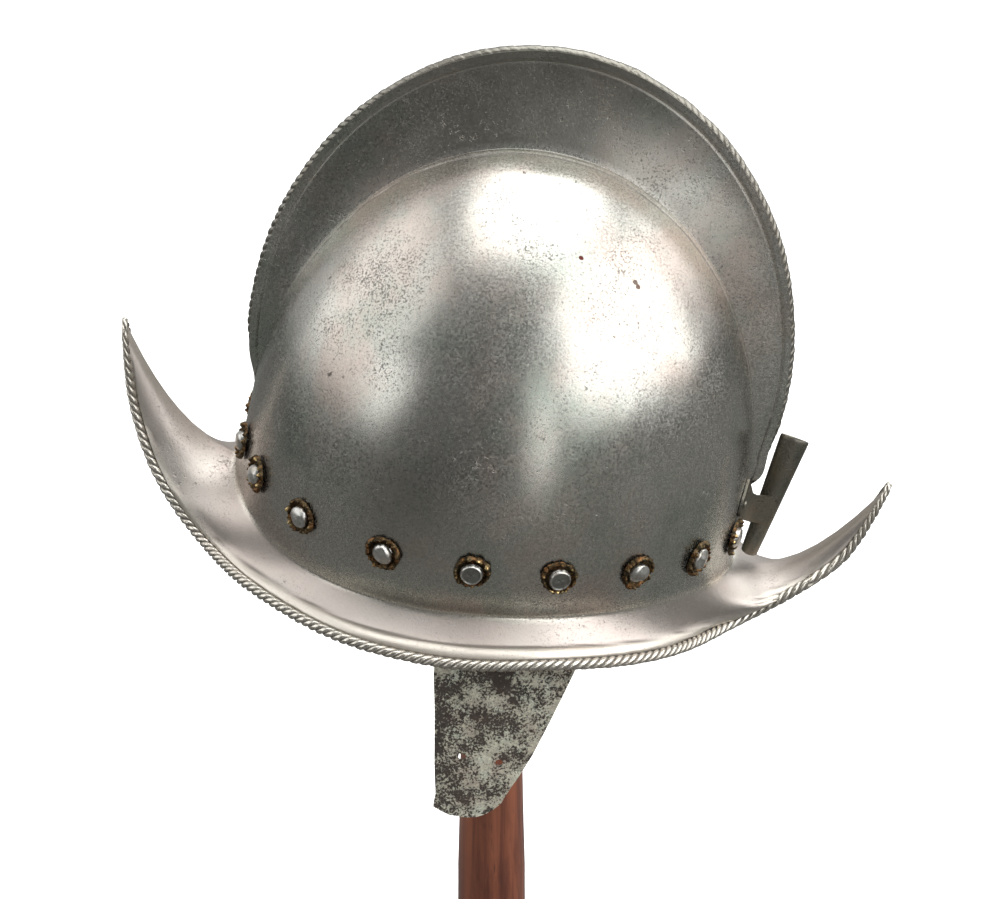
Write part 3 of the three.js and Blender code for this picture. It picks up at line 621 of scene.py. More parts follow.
# A hammered rivet: the head's height falls from its middle as a power of the distance to an uneven rim,
# the whole head leans a little, and a few planes cut it flat in places. A flat one is a disc with a
# raised edge. Below the head are the shank and the closed tail.
def rivetGrid(seed, depth, flat):
    rng = np.random.default_rng(seed)
    seat = rivets["seat"]
    ring = fullRing(rivets["segments"])
    uneven = 1 + 0.06 * np.cos(2 * ring + rng.uniform(0, 6)) + 0.035 * np.cos(3 * ring + rng.uniform(0, 6))
    share = [0.0, 0.16, 0.32, 0.46, 0.58, 0.68, 0.76, 0.82, 0.86, 0.9, 0.94, 0.97, 0.99, 1.0]
    share = np.array(share)[:, None]
    if flat:
        radius = rivets["flatRadius"] * share * (0.6 + 0.4 * uneven)
        edge = 0.35 * smooth(0.74, 0.86, share) - 0.9 * smooth(0.88, 0.97, share)
        edge = edge - 1.1 * smooth(0.95, 1.0, share)
        height = rivets["flatHeight"] + edge + 0.12 * np.cos(3 * ring + 4 * share) * (1 - share)
    else:
        radius = rivets["radius"] * share * uneven
        height = rivets["height"] * np.maximum(1 - share ** 3.2, 0) ** 0.6 + 0 * ring
        x, y = radius * np.cos(ring), radius * np.sin(ring)
        heading = rng.uniform(0, 2 * math.pi)
        height = height * (1 + 0.05 * (x * math.cos(heading) + y * math.sin(heading)))
        for _ in range(5):
            lean, heading = rng.uniform(0.1, 0.6), rng.uniform(0, 2 * math.pi)
            level = rivets["height"] * rng.uniform(0.9, 1.0) * (1 + 0.35 * lean)
            away = x * math.cos(heading) + y * math.sin(heading)
            height = np.minimum(height, level - math.tan(lean * 0.8) * away)
        height = np.maximum(height, 0)
        height[-1] = 0
    tail = rivets["tailRadius"]
    shank, inside, end = rivets["shank"], -seat - depth, -seat - depth - rivets["tailHeight"]
    lower = np.array([
        (rivets["radius"] * 0.97, -0.25),
        (shank, -0.3),
        (shank, inside),
        (tail, inside),
        (tail * 0.8, inside - rivets["tailHeight"] * 0.7),
        (tail * 0.45, end),
        (0, end),
    ])
    radii = np.concatenate([radius, lower[:, :1] + 0 * ring])
    heights = np.concatenate([height, lower[:, 1:] + 0 * ring]) + seat
    dull = np.concatenate([smooth(0.84, 0.76, share) * flat, 0 * lower[:, :1]]) + 0 * ring
    return roundPoints(radii, ring, heights), dull


# A rosette of thin brass beaten into a crumpled dish: a level floor round the shank, then a wall that
# rises to a rim of uneven folds and rolls over outward. Folds are a sum of seeded waves round the rim.
# The lower face runs under it at the sheet's thickness.
def rosetteGrid(seed):
    rng = np.random.default_rng(seed)
    ring = fullRing(rosette["segments"])
    share = np.linspace(0, 1, rosette["rings"])[:, None]
    shift = 0.35 * np.sin(2 * ring + rng.uniform(0, 6)) + 0.2 * np.sin(3 * ring + rng.uniform(0, 6))
    petal = np.cos(rosette["petals"] * (ring + shift) + rng.uniform(0, 6))
    wave = np.sin(0.5 * (rosette["petals"] + 4) * (ring - shift) + rng.uniform(0, 6))
    sharp = 1 - 2 * np.abs(wave) ** 0.7
    bends = 0.3 * np.sin(2 * ring + rng.uniform(0, 6)) + 0.22 * np.sin(3 * ring + rng.uniform(0, 6))
    rim = rosette["radius"] + bends + rosette["wave"] * (0.55 * petal + 0.3 * sharp)
    inner = rivets["shank"] + wall["clearance"]
    radius = inner + (rim - inner) * share
    floor = (rosette["floor"] - inner) / (rim - inner)
    place = np.clip((share - floor) / (1 - floor), 0, 1)
    fold = 1 + 0.3 * petal + 0.2 * sharp + 0.16 * np.sin(ring + rng.uniform(0, 6))
    rise = rosette["lift"] * fold * smooth(0, 0.62, place) * (1 - 0.75 * smooth(0.72, 1.0, place))
    crease = np.sin(2 * rosette["petals"] * ring + 5 * place + rng.uniform(0, 6))
    crease = 0.18 * crease * place * (1 - place) * 4
    top = wall["clearance"] + rosette["thickness"] + 0.1 + np.maximum(rise + crease, 0)
    bottom = top - rosette["thickness"]
    radius = radius - 0.5 * petal * smooth(0.2, 0.6, place) * (1 - place)
    upper, lower = roundPoints(radius, ring, top), roundPoints(radius, ring, bottom)[::-1]
    grid = np.concatenate([upper, lower, upper[:1]])
    # crest marks the folds' tops for the brass's painted highlight, a fifth of it on the lower face
    crest = rise / rosette["lift"]
    return grid, np.concatenate([crest, crest[::-1] * 0.2, crest[:1]])


# A rivet's frame on the wall: the ring's height sways with the sine of twice the turn.
def rivetPlace(index, side):
    turn = math.pi * rivets["places"][index]
    return wallFrame(turn, side, rivets["ringHeight"] - rivets["ringSway"] * math.sin(2 * turn))


def rivetPieces():
    pieces = []
    aSide = len(rivets["places"])
    for number in range(2 * aSide):
        side = -1 if number < aSide else 1
        index = number % aSide
        place = rivetPlace(index, side)
        flat = index in rivets["flat"]
        plate = cheek["seatGap"] + cheek["thickness"] if flat else 0
        depth = wall["thickness"] + rivets["tailGap"] + plate
        head, dull = rivetGrid(100 + number, depth, flat)
        patch = (placeIn(place, head), True, False, {"dull": dull})
        rivet = buildPiece(f"rivet_head_{number + 1:02d}", [patch], 60)
        grid, fold = rosetteGrid(200 + number)
        patch = (placeIn(place, grid), True, False, {"fold": fold})
        leaf = buildPiece(f"rosette_leaf_{number + 1:02d}", [patch], 70)
        pieces.append((rivet, leaf, number))
    return pieces


rivetSet = rivetPieces()
print("rivets and rosettes:", len(rivetSet))


# The cheek plate's outline: share of its depth, then its front and back edges as shares of its length.
cheekOutline = np.array([
    (0, 0.22, 0.8),
    (0.035, 0.1, 0.93),
    (0.09, 0.03, 0.99),
    (0.18, 0, 1),
    (0.285, 0, 1),
    (0.36, 0.008, 0.995),
    (0.432, 0.022, 0.969),
    (0.507, 0.042, 0.935),
    (0.63, 0.098, 0.875),
    (0.748, 0.145, 0.813),
    (0.818, 0.172, 0.763),
    (0.883, 0.202, 0.711),
    (0.934, 0.226, 0.676),
    (0.961, 0.226, 0.631),
    (0.98, 0.228, 0.585),
    (0.9965, 0.32, 0.52),
    (1, 0.35, 0.47),
])


# Patches of a thin plate: its two faces and the strips that close it all round.
def platePatches(face, back, flip):
    strips = [
        np.stack([back[0], face[0]]),
        np.stack([face[-1], back[-1]]),
        np.stack([back[:, 0], face[:, 0]], 1),
        np.stack([face[:, -1], back[:, -1]], 1),
    ]
    faces = [(face, False, flip, {}), (back, False, not flip, {})]
    return faces + [(strip, False, flip, {}) for strip in strips]


# The outline's front and back edges at a depth, both straight between its rows.
def outlineAt(depth):
    return (np.interp(depth, cheekOutline[:, 0], cheekOutline[:, column]) for column in (1, 2))


# The cheek plate's face: it follows the skull's inner wall down to the foot, and hangs on below it with a
# slight lean inward, flattening as it goes.
def cheekPoint(across, depth):
    height = cheek["top"] + (cheek["bottom"] - cheek["top"]) * depth
    front, back = outlineAt(depth)
    x = cheek["front"] + (cheek["back"] - cheek["front"]) * (front + (back - front) * across)
    inset = wall["thickness"] + cheek["seatGap"]
    turn = np.arccos(-x / (skull["halfLength"] - inset))
    share = (skull["ringHeight"] - height) / (skull["ringHeight"] - footHeight(turn))
    seat = -wallPoint(turn, np.minimum(share, 1), inset)[..., 1]
    below = np.maximum(footHeight(turn) - height, 0)
    hang = np.minimum(below / (footHeight(turn) - cheek["bottom"]), 1)
    middle = skull["footHalfWidth"] - inset
    out = seat + (middle - seat) * hang * cheek["flatten"] * (1 - seat / middle) * 4
    return np.stack([x, -(out - cheek["lean"] * below), height], -1)


# A cheek plate: its outer face is moved along the normals by pits, soft waves and a raised edge, its inner
# one lies a thickness in, and two ragged holes are cut through both.
def cheekPiece(name, side):
    across = np.linspace(0, 1, 72)[None]
    top, middle = np.linspace(0, 0.12, 14, endpoint=False), np.linspace(0.12, 0.9, 92, endpoint=False)
    depth = np.concatenate([top, middle, np.linspace(0.9, 1, 16)])[:, None]
    face = cheekPoint(across + 0 * depth, depth + 0 * across)
    normals = gridNormals(face)
    normals *= np.sign(-normals[..., 1:2])
    edge = np.minimum(np.minimum(across, 1 - across) * 55, np.minimum(depth, 1 - depth) * 130)
    pits = unevenness(face, 5.5, 31) + 0.7 * unevenness(face, 2.8, 32)
    relief = -0.28 * smooth(0.1, 0.8, pits) + 0.22 * unevenness(face, 24, 33)
    relief = relief + 0.25 * smooth(2.4, 0.6, edge)
    outer = face + normals * (relief * smooth(0, 1.5, edge))[..., None]
    inner = face - normals * cheek["thickness"]
    flip = np.array([1, -side, 1])
    outer, inner = outer * flip, inner * flip
    plate = buildPiece(name, platePatches(outer, inner, side > 0), 50)
    for number, (acrossAll, deep) in enumerate(cheek["holes"]):
        low, high = outlineAt(deep)
        spot = cheekPoint(np.array((acrossAll - low) / (high - low)), np.array(deep)) * flip
        ring = fullRing(28)
        ragged = cheek["holeRadius"] * (1 + 0.07 * np.cos(3 * ring + number) + 0.05 * np.cos(5 * ring))
        reach = np.array([-5, -5, 5, 5.0])[:, None]
        size = np.array([0, 1, 1, 0.0])[:, None] * ragged
        drill = np.stack([size * np.cos(ring), reach + 0 * ring, size * np.sin(ring)], -1) + spot
        cutter = buildPiece(f"{name}_cutter_{number}", [(drill, True, False, {})])
        cut = plate.modifiers.new("hole", "BOOLEAN")
        cut.operation, cut.object, cut.solver = "DIFFERENCE", cutter, "EXACT"
        evaluated = plate.evaluated_get(bpy.context.evaluated_depsgraph_get())
        finished = bpy.data.meshes.new_from_object(evaluated)
        plate.modifiers.clear()
        plate.data = finished
        bpy.data.objects.remove(cutter)
    return plate


cheekLeft = cheekPiece("cheek_plate_near", -1)
cheekRight = cheekPiece("cheek_plate_far", 1)
print("cheek plates:", len(cheekLeft.data.polygons), "faces each")


plume = {
    "topRadius": 6.6,
    "footRadius": 3.7,
    "wall": 0.9,
    "top": (128.7, 64.7),
    "foot": (120.5, 5.2),
    "earThickness": 1.1,
    "earReach": 21.0,
    "earSeatStart": 12.5,
    "rivetReach": 16.2,
    "rivetHeight": 35.0,
    "halfHeight": 11.5,
    "flattening": 0.25,       # how much narrower across than along the tube is at its mouth
    "mouthSlant": 1.6,        # the mouth stands this much higher on the left, and lower on the right
}

# Rows of place along an ear and of its edges in half heights: the lower, then the upper of the left ear and
# of the right one.
earOutline = np.array([
    (0, -1.13, 0.13, -0.35),
    (0.3, -1.043, 0.13, -0.4),
    (0.42, -0.957, 0.261, -0.4),
    (0.62, -0.783, 1, 0.3),
    (0.8, -0.522, 0.652, 0.4),
    (0.95, -0.391, 0.348, 0.3),
    (1, -0.217, 0.13, 0.13),
])


# A tapered tube: circles about a leaning line, out of round by a little, with rolled lips.
def tubeGrid():
    foot, top = (np.array([plume[key][0], 0, plume[key][1]]) for key in ("foot", "top"))
    axis = unit(top - foot)
    ahead = np.array([axis[2], 0, -axis[0]])
    ring = fullRing(56)
    length = np.linalg.norm(top - foot)
    footLip, mouthLip = [0.004, 0, 0.006, 0.03], [0.97, 0.994, 1.0, 0.996]
    innerShare = [0.98, 0.9, 0.6, 0.3, 0.02]
    share = np.concatenate([footLip, np.linspace(0.1, 0.9, 9), mouthLip, innerShare])[:, None]
    lip = np.array([0.7, 0.35, 0.05])
    drop = np.concatenate([lip, np.zeros(11), lip[::-1], np.full(len(innerShare), plume["wall"])])[:, None]
    radius = plume["footRadius"] + (plume["topRadius"] - plume["footRadius"]) * share - drop
    radius = radius * (1 + 0.02 * np.cos(2 * ring + 1) + 0.012 * np.cos(3 * ring + 4 * share))
    seam = bell(np.mod(ring, 2 * math.pi), 2.5, 0.05)
    radius = radius - 0.18 * seam * (drop < 0.2)
    centre = foot + axis * (share * length)[..., None]
    oval = 1 - plume["flattening"] * share
    slant = -plume["mouthSlant"] * np.sin(ring) * smooth(0.8, 1, share)
    grid = centre + ahead * (radius * np.cos(ring))[..., None]
    grid = grid + np.array([0, 1, 0]) * (radius * oval * np.sin(ring))[..., None] + axis * slant[..., None]
    return np.concatenate([grid, grid[:1]])


# A place outside the back of the skull at a given reach from the middle plane, lifted off it by lift.
def skullBack(reach, height, lift):
    above = np.maximum(height - skull["ringHeight"], 0) / skull["rise"]
    shrink = np.sqrt(1 - above ** 2)
    turn = math.pi - np.arcsin(np.clip(reach / (skull["halfWidth"] * shrink), -1, 1))
    halfLength = skull["halfLength"] * shrink + lift
    return -halfLength * np.cos(turn)


# An ear's route in plan: a quadratic curve from the tube's side in to the skull, then along its wall.
def earFace(place, height):
    share = (height - plume["foot"][1]) / (plume["top"][1] - plume["foot"][1])
    tubeX = plume["foot"][0] + (plume["top"][0] - plume["foot"][0]) * share
    radius = plume["footRadius"] + (plume["topRadius"] - plume["footRadius"]) * share
    tubeSide = radius - plume["wall"] / 2 + plume["earThickness"] / 2
    lift = wall["clearance"] + plume["earThickness"] + 0.1
    along = np.clip(place / 0.6, 0, 1)
    seatX = skullBack(np.full_like(height, plume["earSeatStart"]), height, lift)
    kneeX = seatX + (tubeX - seatX) * 0.35
    first, knee, last = (1 - along) ** 2, 2 * along * (1 - along), along ** 2
    x = tubeX * first + kneeX * knee + seatX * last
    y = tubeSide * first + (tubeSide + 0.9) * knee + plume["earSeatStart"] * last
    reach = plume["earSeatStart"] + (plume["earReach"] - plume["earSeatStart"]) * (place - 0.6) / 0.4
    onSkull = place > 0.6
    x = np.where(onSkull, skullBack(reach, height, lift), x)
    y = np.where(onSkull, reach, y)
    return np.stack([x, y, height], -1)


# An ear: a thin plate between its lower and its upper edge, both straight between the outline's rows.
def earPatches(side):
    place = np.linspace(0, 1, 44)[None]
    share = np.linspace(0, 1, 18)[:, None]
    low = plume["rivetHeight"] + plume["halfHeight"] * np.interp(place, earOutline[:, 0], earOutline[:, 1])
    upper = earOutline[:, 3 if side > 0 else 2]
    high = plume["rivetHeight"] + plume["halfHeight"] * np.interp(place, earOutline[:, 0], upper)
    face = earFace(place + 0 * share, low + (high - low) * share)
    normals = gridNormals(face)
    normals *= np.sign(normals[..., :1] + normals[..., 1:2])
    back = face - normals * plume["earThickness"]
    flip = np.array([1, side, 1])
    return platePatches(face * flip, back * flip, side > 0)


holder = buildPiece("plume_tube", [(tubeGrid(), True, True, {})] + earPatches(-1) + earPatches(1), 50)


# An ear's rivet: a turned profile, a little out of round and narrower along the ear.
def plumeRivet(name, side):
    turn = math.pi - math.asin(plume["rivetReach"] / skull["halfWidth"])
    place = wallFrame(turn, side, plume["rivetHeight"])
    ring = fullRing(20)
    seat = 2 * wall["clearance"] + plume["earThickness"] + 0.2
    profile = np.array([
        (0, seat + 1.1),
        (0.9, seat + 1.0),
        (1.7, seat + 0.7),
        (2.2, seat + 0.2),
        (2.25, seat),
        (1.4, seat),
        (1.4, -2.0),
        (2.3, -2.0),
        (1.9, -2.8),
        (0, -3.1),
    ])
    radius = profile[:, :1] * (1 + 0.06 * np.cos(2 * ring))
    grid = roundPoints(radius, ring, profile[:, 1:]) * np.array([0.62, 1, 1])
    return buildPiece(name, [(placeIn(place, grid), True, False, {})], 50)


plumeRivets = [plumeRivet("plume_pin_left", -1), plumeRivet("plume_pin_right", 1)]
print("plume holder:", len(holder.data.polygons), "faces")


post = {
    "sides": 96,
    "topRadius": 13.4,
    "middleRadius": 15.6,
    "footRadius": 20.0,
    "middleHeight": 106.0,
    "crown": 3.0,
    "baseTop": 22.0,
}
base = {"radius": 82.0, "thickness": 22.0, "sides": 128}


# A solid turned about the post's axis: a smooth profile of (radius, height) rows in frame millimetres.
def turned(name, profile, sides):
    profile = np.array(profile, dtype=float)
    grid = roundPoints(profile[:, :1], fullRing(sides), profile[:, 1:])
    return buildPiece(name, [(grid, True, True, {})], 45, True)


# The post: from its top it swells as a power curve to its middle, then flares as another into a collar.
def postProfile():
    top, floor, collar = post["top"], post["baseTop"], post["footRadius"]
    middle, middleHeight, upper = post["middleRadius"], post["middleHeight"], post["topRadius"]
    rows = [(0, 10.3), (10, 10.3), (10, floor + 0.3), (collar - 1.2, floor + 0.3)]
    rows += [(collar, floor + 1.2), (collar, floor + 3.2), (collar - 0.9, floor + 4.3)]
    share = np.linspace(0.06, 1, 26)
    flare = middle + (collar - 2.2 - middle) * (1 - share) ** 2.4
    rows += list(zip(flare, floor + 4.5 + (middleHeight - floor - 4.5) * share))
    share = np.linspace(0, 1, 30)[1:]
    swell = upper + (middle - upper) * (1 - share) ** 5
    rows += list(zip(swell, middleHeight + (top - 1.6 - middleHeight) * share))
    rows += [(upper - 0.5, top - 0.4), (upper - 1.6, top + 0.3)]
    dome = np.linspace(0, 1, 9)[1:]
    crown = top + 0.3 + (post["crown"] - 0.3) * (1 - (1 - dome) ** 2)
    rows += list(zip((upper - 1.6) * (1 - dome), crown))
    return rows


# The base: a plinth with an ovolo edge, a small step and a level top round the post's socket.
def baseProfile():
    radius, thickness = base["radius"], base["thickness"]
    turn = np.linspace(0, math.pi / 2, 8)
    rows = [(0, 0), (radius - 2, 0), (radius - 0.6, 0.5), (radius, 1.8), (radius, thickness * 0.38)]
    rows += [(radius - 0.6, thickness * 0.44), (radius - 2.4, thickness * 0.5)]
    rows += [(radius - 3.0, thickness * 0.56)]
    ovolo = thickness * 0.6 + thickness * 0.38 * np.sin(turn)
    rows += list(zip(radius - 7 - 12 * (1 - np.cos(turn)), ovolo))
    rows += [(radius - 21, thickness), (40, thickness), (10.6, thickness)]
    rows += [(10.3, thickness - 0.4), (10.3, 10), (0, 10)]
    return rows


post["top"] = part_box("stand_pole")[1][2] * 1000 - post["crown"]
pole = turned("turned_post", postProfile(), post["sides"])
foot = turned("turned_base", baseProfile(), base["sides"])
print("stand:", len(pole.data.polygons) + len(foot.data.polygons), "faces")


# Materials follow. Each one's look is a dictionary of node settings beside its function, in linear colours.


# Links a node's output to an input, or gives the input a plain value.
def setInput(socket, value):
    if isinstance(value, bpy.types.NodeSocket):
        socket.id_data.links.new(value, socket)
    else:
        socket.default_value = value


# Adds a node to the tree of its inputs, or to the one given, and sets its properties and its inputs.
def node(kind, inputs, tree=None, **settings):
    sockets = [value for value in inputs.values() if isinstance(value, bpy.types.NodeSocket)]
    made = (tree or sockets[0].id_data).nodes.new(kind)
    for key, value in settings.items():
        setattr(made, key, value)
    for key, value in inputs.items():
        setInput(made.inputs[key], value)
    return made.outputs


# A function that joins two values by one operation.
def joinBy(operation):
    def join(first, second, clamp=False):
        return node("ShaderNodeMath", {0: first, 1: second}, operation=operation, use_clamp=clamp)[0]
    return join


plus, minus, times = joinBy("ADD"), joinBy("SUBTRACT"), joinBy("MULTIPLY")
over, higher = joinBy("DIVIDE"), joinBy("MAXIMUM")


# The first colour at factor 0 and the second at factor 1.
def blend(factor, first, second, mode="MIX"):
    return node("ShaderNodeMix", {0: factor, 6: first, 7: second}, data_type="RGBA", blend_type=mode)[2]


# An S-shaped rise from 0 at low to 1 at high.
def ramp(value, low, high):
    inputs = {0: value, 1: low, 2: high, 3: 0.0, 4: 1.0}
    return node("ShaderNodeMapRange", inputs, interpolation_type="SMOOTHSTEP")[0]


# Fractal noise at a place, with a fourth dimension where a seed is given.
def noise(place, scale, detail, roughness=0.5, distortion=0.0, seed=None):
    inputs = {"Vector": place, "Scale": scale, "Detail": detail}
    inputs |= {"Roughness": roughness, "Distortion": distortion}
    if seed is None:
        return node("ShaderNodeTexNoise", inputs)[0]
    return node("ShaderNodeTexNoise", {**inputs, "W": seed}, noise_dimensions="4D")[0]


# A node group with its named inputs, which have values to start from, and its outputs.
def makeGroup(name, inputs, outputs):
    group = bpy.data.node_groups.new(name, "ShaderNodeTree")
    for label, kind, value in inputs:
        socket = group.interface.new_socket(label, in_out="INPUT", socket_type=f"NodeSocket{kind}")
        if value is not None:
            socket.default_value = value
    for label, kind in outputs:
        group.interface.new_socket(label, in_out="OUTPUT", socket_type=f"NodeSocket{kind}")
    return group, group.nodes.new("NodeGroupInput").outputs, group.nodes.new("NodeGroupOutput").inputs


# Pits: fractal noise cut at a level, so that they run together where a patch of broad noise brings the
# level down. Fine specks of a second, smaller noise lie between them.
def pittingGroup():
    group, source, target = makeGroup("Pitting", [
        ("Coordinates", "Vector", None),
        ("Size", "Float", 1.2),
        ("Cover", "Float", 0.5),
        ("Patch Size", "Float", 18.0),
        ("Patchiness", "Float", 0.4),
        ("Softness", "Float", 0.05),
    ], [("Pits", "Float"), ("Height", "Float")])
    place, softness = source["Coordinates"], source["Softness"]
    cutLevel = 0.7
    scale = over(500.0, source["Size"])
    patch = noise(place, over(1000.0, source["Patch Size"]), 3.0, 0.6)
    lift = times(minus(patch, 0.5), source["Patchiness"])
    level = plus(plus(noise(place, scale, 3.0, 0.6, 0.3), lift), times(source["Cover"], 0.4))
    pit = ramp(level, minus(cutLevel, softness), plus(cutLevel, softness))
    fine = noise(place, times(scale, 2.7), 2.0, 0.6)
    speck = ramp(plus(fine, times(minus(level, 0.6), 0.35)), 0.66, 0.71)
    both = higher(pit, times(speck, 0.8))
    setInput(target["Pits"], both)
    setInput(target["Height"], minus(1.0, both))
    return group


# Patina: three tints of one metal, mixed by two broad clouds and a fine mottle.
def patinaGroup():
    group, source, target = makeGroup("Patina", [
        ("Coordinates", "Vector", None),
        ("Base", "Color", (0.5, 0.5, 0.5, 1)),
        ("Warm", "Color", (0.5, 0.4, 0.35, 1)),
        ("Cool", "Color", (0.4, 0.43, 0.38, 1)),
        ("Cloud Size", "Float", 60.0),
        ("Mottle", "Float", 0.25),
    ], [("Color", "Color"), ("Cloud", "Float"), ("Grain", "Float")])
    place = source["Coordinates"]
    scale = over(1000.0, source["Cloud Size"])
    cloud = noise(place, scale, 5.0, 0.6, 0.4)
    other = noise(place, times(scale, 1.7), 5.0, 0.65, seed=3.7)
    grain = noise(place, 900.0, 3.0, 0.75)
    tint = blend(ramp(cloud, 0.42, 0.66), source["Base"], source["Warm"])
    tint = blend(ramp(other, 0.45, 0.68), tint, source["Cool"])
    speckle = plus(times(minus(grain, 0.5), source["Mottle"]), 1.0)
    grey = node("ShaderNodeCombineColor", {0: speckle, 1: speckle, 2: speckle})[0]
    setInput(target["Color"], blend(1.0, tint, grey, "MULTIPLY"))
    setInput(target["Cloud"], cloud)
    setInput(target["Grain"], grain)
    return group


# Wood grain: noise stretched along the grain for the figure, and finer noise, stretched as well, for the
# pores.
def grainGroup():
    group, source, target = makeGroup("Upright Grain", [
        ("Coordinates", "Vector", None),
        ("Dark", "Color", (0.1, 0.03, 0.02, 1)),
        ("Light", "Color", (0.35, 0.12, 0.06, 1)),
        ("Along", "Vector", (1, 1, 0.07)),
    ], [("Color", "Color"), ("Height", "Float"), ("Figure", "Float")])
    place = source["Coordinates"]
    stretched = node("ShaderNodeVectorMath", {0: place, 1: source["Along"]}, operation="MULTIPLY")[0]
    figure = noise(stretched, 160.0, 5.0, 0.6, 0.6)
    cloud = noise(place, 14.0, 3.0)
    mixed = plus(times(ramp(figure, 0.35, 0.66), 0.7), times(ramp(cloud, 0.3, 0.7), 0.3))
    pore = ramp(noise(stretched, 900.0, 3.0, 0.7), 0.62, 0.7)
    tint = blend(mixed, source["Dark"], source["Light"])
    setInput(target["Color"], blend(times(pore, 0.6), tint, (0.03, 0.01, 0.006, 1)))
    setInput(target["Height"], minus(1.0, pore))
    setInput(target["Figure"], figure)
    return group


pitting, patina, uprightGrain = pittingGroup(), patinaGroup(), grainGroup()


# A material with its shader and the place on the object that its textures read.
def newMaterial(name):
    material = bpy.data.materials.new(name)
    material.use_nodes = True
    tree = material.node_tree
    tree.nodes.clear()
    shader = tree.nodes.new("ShaderNodeBsdfPrincipled")
    setInput(tree.nodes.new("ShaderNodeOutputMaterial").inputs["Surface"], shader.outputs[0])
    return material, shader, node("ShaderNodeTexCoord", {}, tree)["Object"]


def useGroup(group, place, look):
    return node("ShaderNodeGroup", {"Coordinates": place, **look}, node_tree=group)


# A value that the mesh holds for each of its points.
def mark(shader, name):
    return node("ShaderNodeAttribute", {}, shader.id_data, attribute_name=name)["Fac"]


# Sets what every surface has: colour, roughness, metal and a bump whose height comes from the textures.
def setSurface(shader, look, colour, rough, height, metal=1.0):
    strength, distance = look["bump"]
    normal = node("ShaderNodeBump", {"Strength": strength, "Distance": distance, "Height": height})[0]
    values = {"Base Color": colour, "Roughness": rough, "Normal": normal, "Metallic": metal}
    for key, value in values.items():
        setInput(shader.inputs[key], value)


# Scars are old marks on the left of the skull: place in frame metres, radius and tint.
steelLook = {
    "tones": {"Base": (0.43, 0.425, 0.39, 1), "Warm": (0.43, 0.375, 0.335, 1),
              "Cool": (0.33, 0.35, 0.31, 1), "Cloud Size": 75.0, "Mottle": 1.1},
    "finePits": {"Size": 0.45, "Cover": 0.14, "Patch Size": 45.0, "Patchiness": 0.5, "Softness": 0.07},
    "largePits": {"Size": 1.2, "Cover": -0.16, "Patch Size": 30.0, "Patchiness": 0.7, "Softness": 0.05},
    "pit": (0.035, 0.032, 0.026, 1),
    "line": (0.06, 0.052, 0.04, 1),
    # brim is the brim's tint, rim a painted highlight, comb a darker comb and painted shade on the skull
    "tintsAndPaintedLight": {"brim": (0.7, (0.44, 0.39, 0.36, 1)), "rim": (0.7, (0.64, 0.6, 0.53, 1)),
              "comb": (0.8, (0.18, 0.17, 0.145, 1))},
    "scars": (
        ((0.044, -0.0592, 0.4359), 0.0011, (0.07, 0.018, 0.015, 1)),
        ((0.0671, -0.0554, 0.4239), 0.0013, (0.09, 0.07, 0.06, 1)),
        ((0.0682, -0.0558, 0.422), 0.0012, (0.09, 0.06, 0.05, 1)),
    ),
    "roughness": 0.19,
    "bump": (0.6, 0.00026),
}


# The shell: patina, brim tint, painted highlight, darker comb, painted shade, scars, pits and dark lines.
def shellMaterial(look):
    material, shader, place = newMaterial("patinated steel")
    tone = useGroup(patina, place, look["tones"])
    fine, large = useGroup(pitting, place, look["finePits"]), useGroup(pitting, place, look["largePits"])
    colour, tintsAndPaintedLight = tone["Color"], {}
    for area, (strength, tint) in look["tintsAndPaintedLight"].items():
        tintsAndPaintedLight[area] = mark(shader, area)
        colour = blend(times(tintsAndPaintedLight[area], strength), colour, tint)
    for middle, radius, tint in look["scars"]:
        away = node("ShaderNodeVectorMath", {0: place, 1: middle}, operation="DISTANCE")["Value"]
        ragged = plus(away, times(tone["Grain"], radius))
        colour = blend(minus(1.0, ramp(ragged, radius * 1.3, radius * 1.6)), colour, tint)
    line = mark(shader, "line")
    pits = higher(times(fine["Pits"], 0.8), large["Pits"])
    pits = times(pits, minus(1.0, times(tintsAndPaintedLight["brim"], 0.6)))
    colour = blend(times(pits, 0.8), colour, look["pit"])
    colour = blend(times(line, 0.85), colour, look["line"])
    rough = plus(times(tone["Cloud"], 0.16), look["roughness"])
    rough = plus(rough, times(minus(tone["Grain"], 0.5), 0.3))
    rough = plus(rough, times(pits, 0.3))
    rough = plus(rough, times(tintsAndPaintedLight["brim"], 0.17))
    rough = plus(rough, times(tintsAndPaintedLight["comb"], 0.08), True)
    height = plus(times(fine["Height"], 0.2), large["Height"])
    height = plus(height, times(tone["Grain"], 0.35))
    clean = minus(1.0, higher(times(pits, 0.6), times(line, 0.9)))
    setSurface(shader, look, colour, rough, height, clean)
    setInput(shader.inputs["Specular IOR Level"], times(clean, 0.5))
    return material


rivetLook = {
    "tones": {"Base": (0.47, 0.465, 0.44, 1), "Warm": (0.33, 0.3, 0.26, 1), "Cool": (0.52, 0.52, 0.5, 1),
              "Cloud Size": 4.0, "Mottle": 0.8},
    "pits": {"Size": 0.6, "Cover": 0.12, "Patch Size": 5.0},
    "pit": (0.07, 0.065, 0.05, 1),
    "dull": (0.1, 0.1, 0.088, 1),     # the face of the flat heads
    "roughness": 0.2,
    "bump": (0.4, 0.0002),
}


# Rivet steel: patina, the dull face of the flat heads by the mesh's mark, and pits.
def rivetMaterial(look):
    material, shader, place = newMaterial("worn rivet steel")
    tone, pits = useGroup(patina, place, look["tones"]), useGroup(pitting, place, look["pits"])
    dull = mark(shader, "dull")
    colour = blend(times(dull, 0.75), tone["Color"], look["dull"])
    colour = blend(times(pits["Pits"], 0.6), colour, look["pit"])
    rough = plus(times(tone["Grain"], 0.3), plus(times(dull, 0.18), look["roughness"]))
    setSurface(shader, look, colour, rough, pits["Height"])
    return material


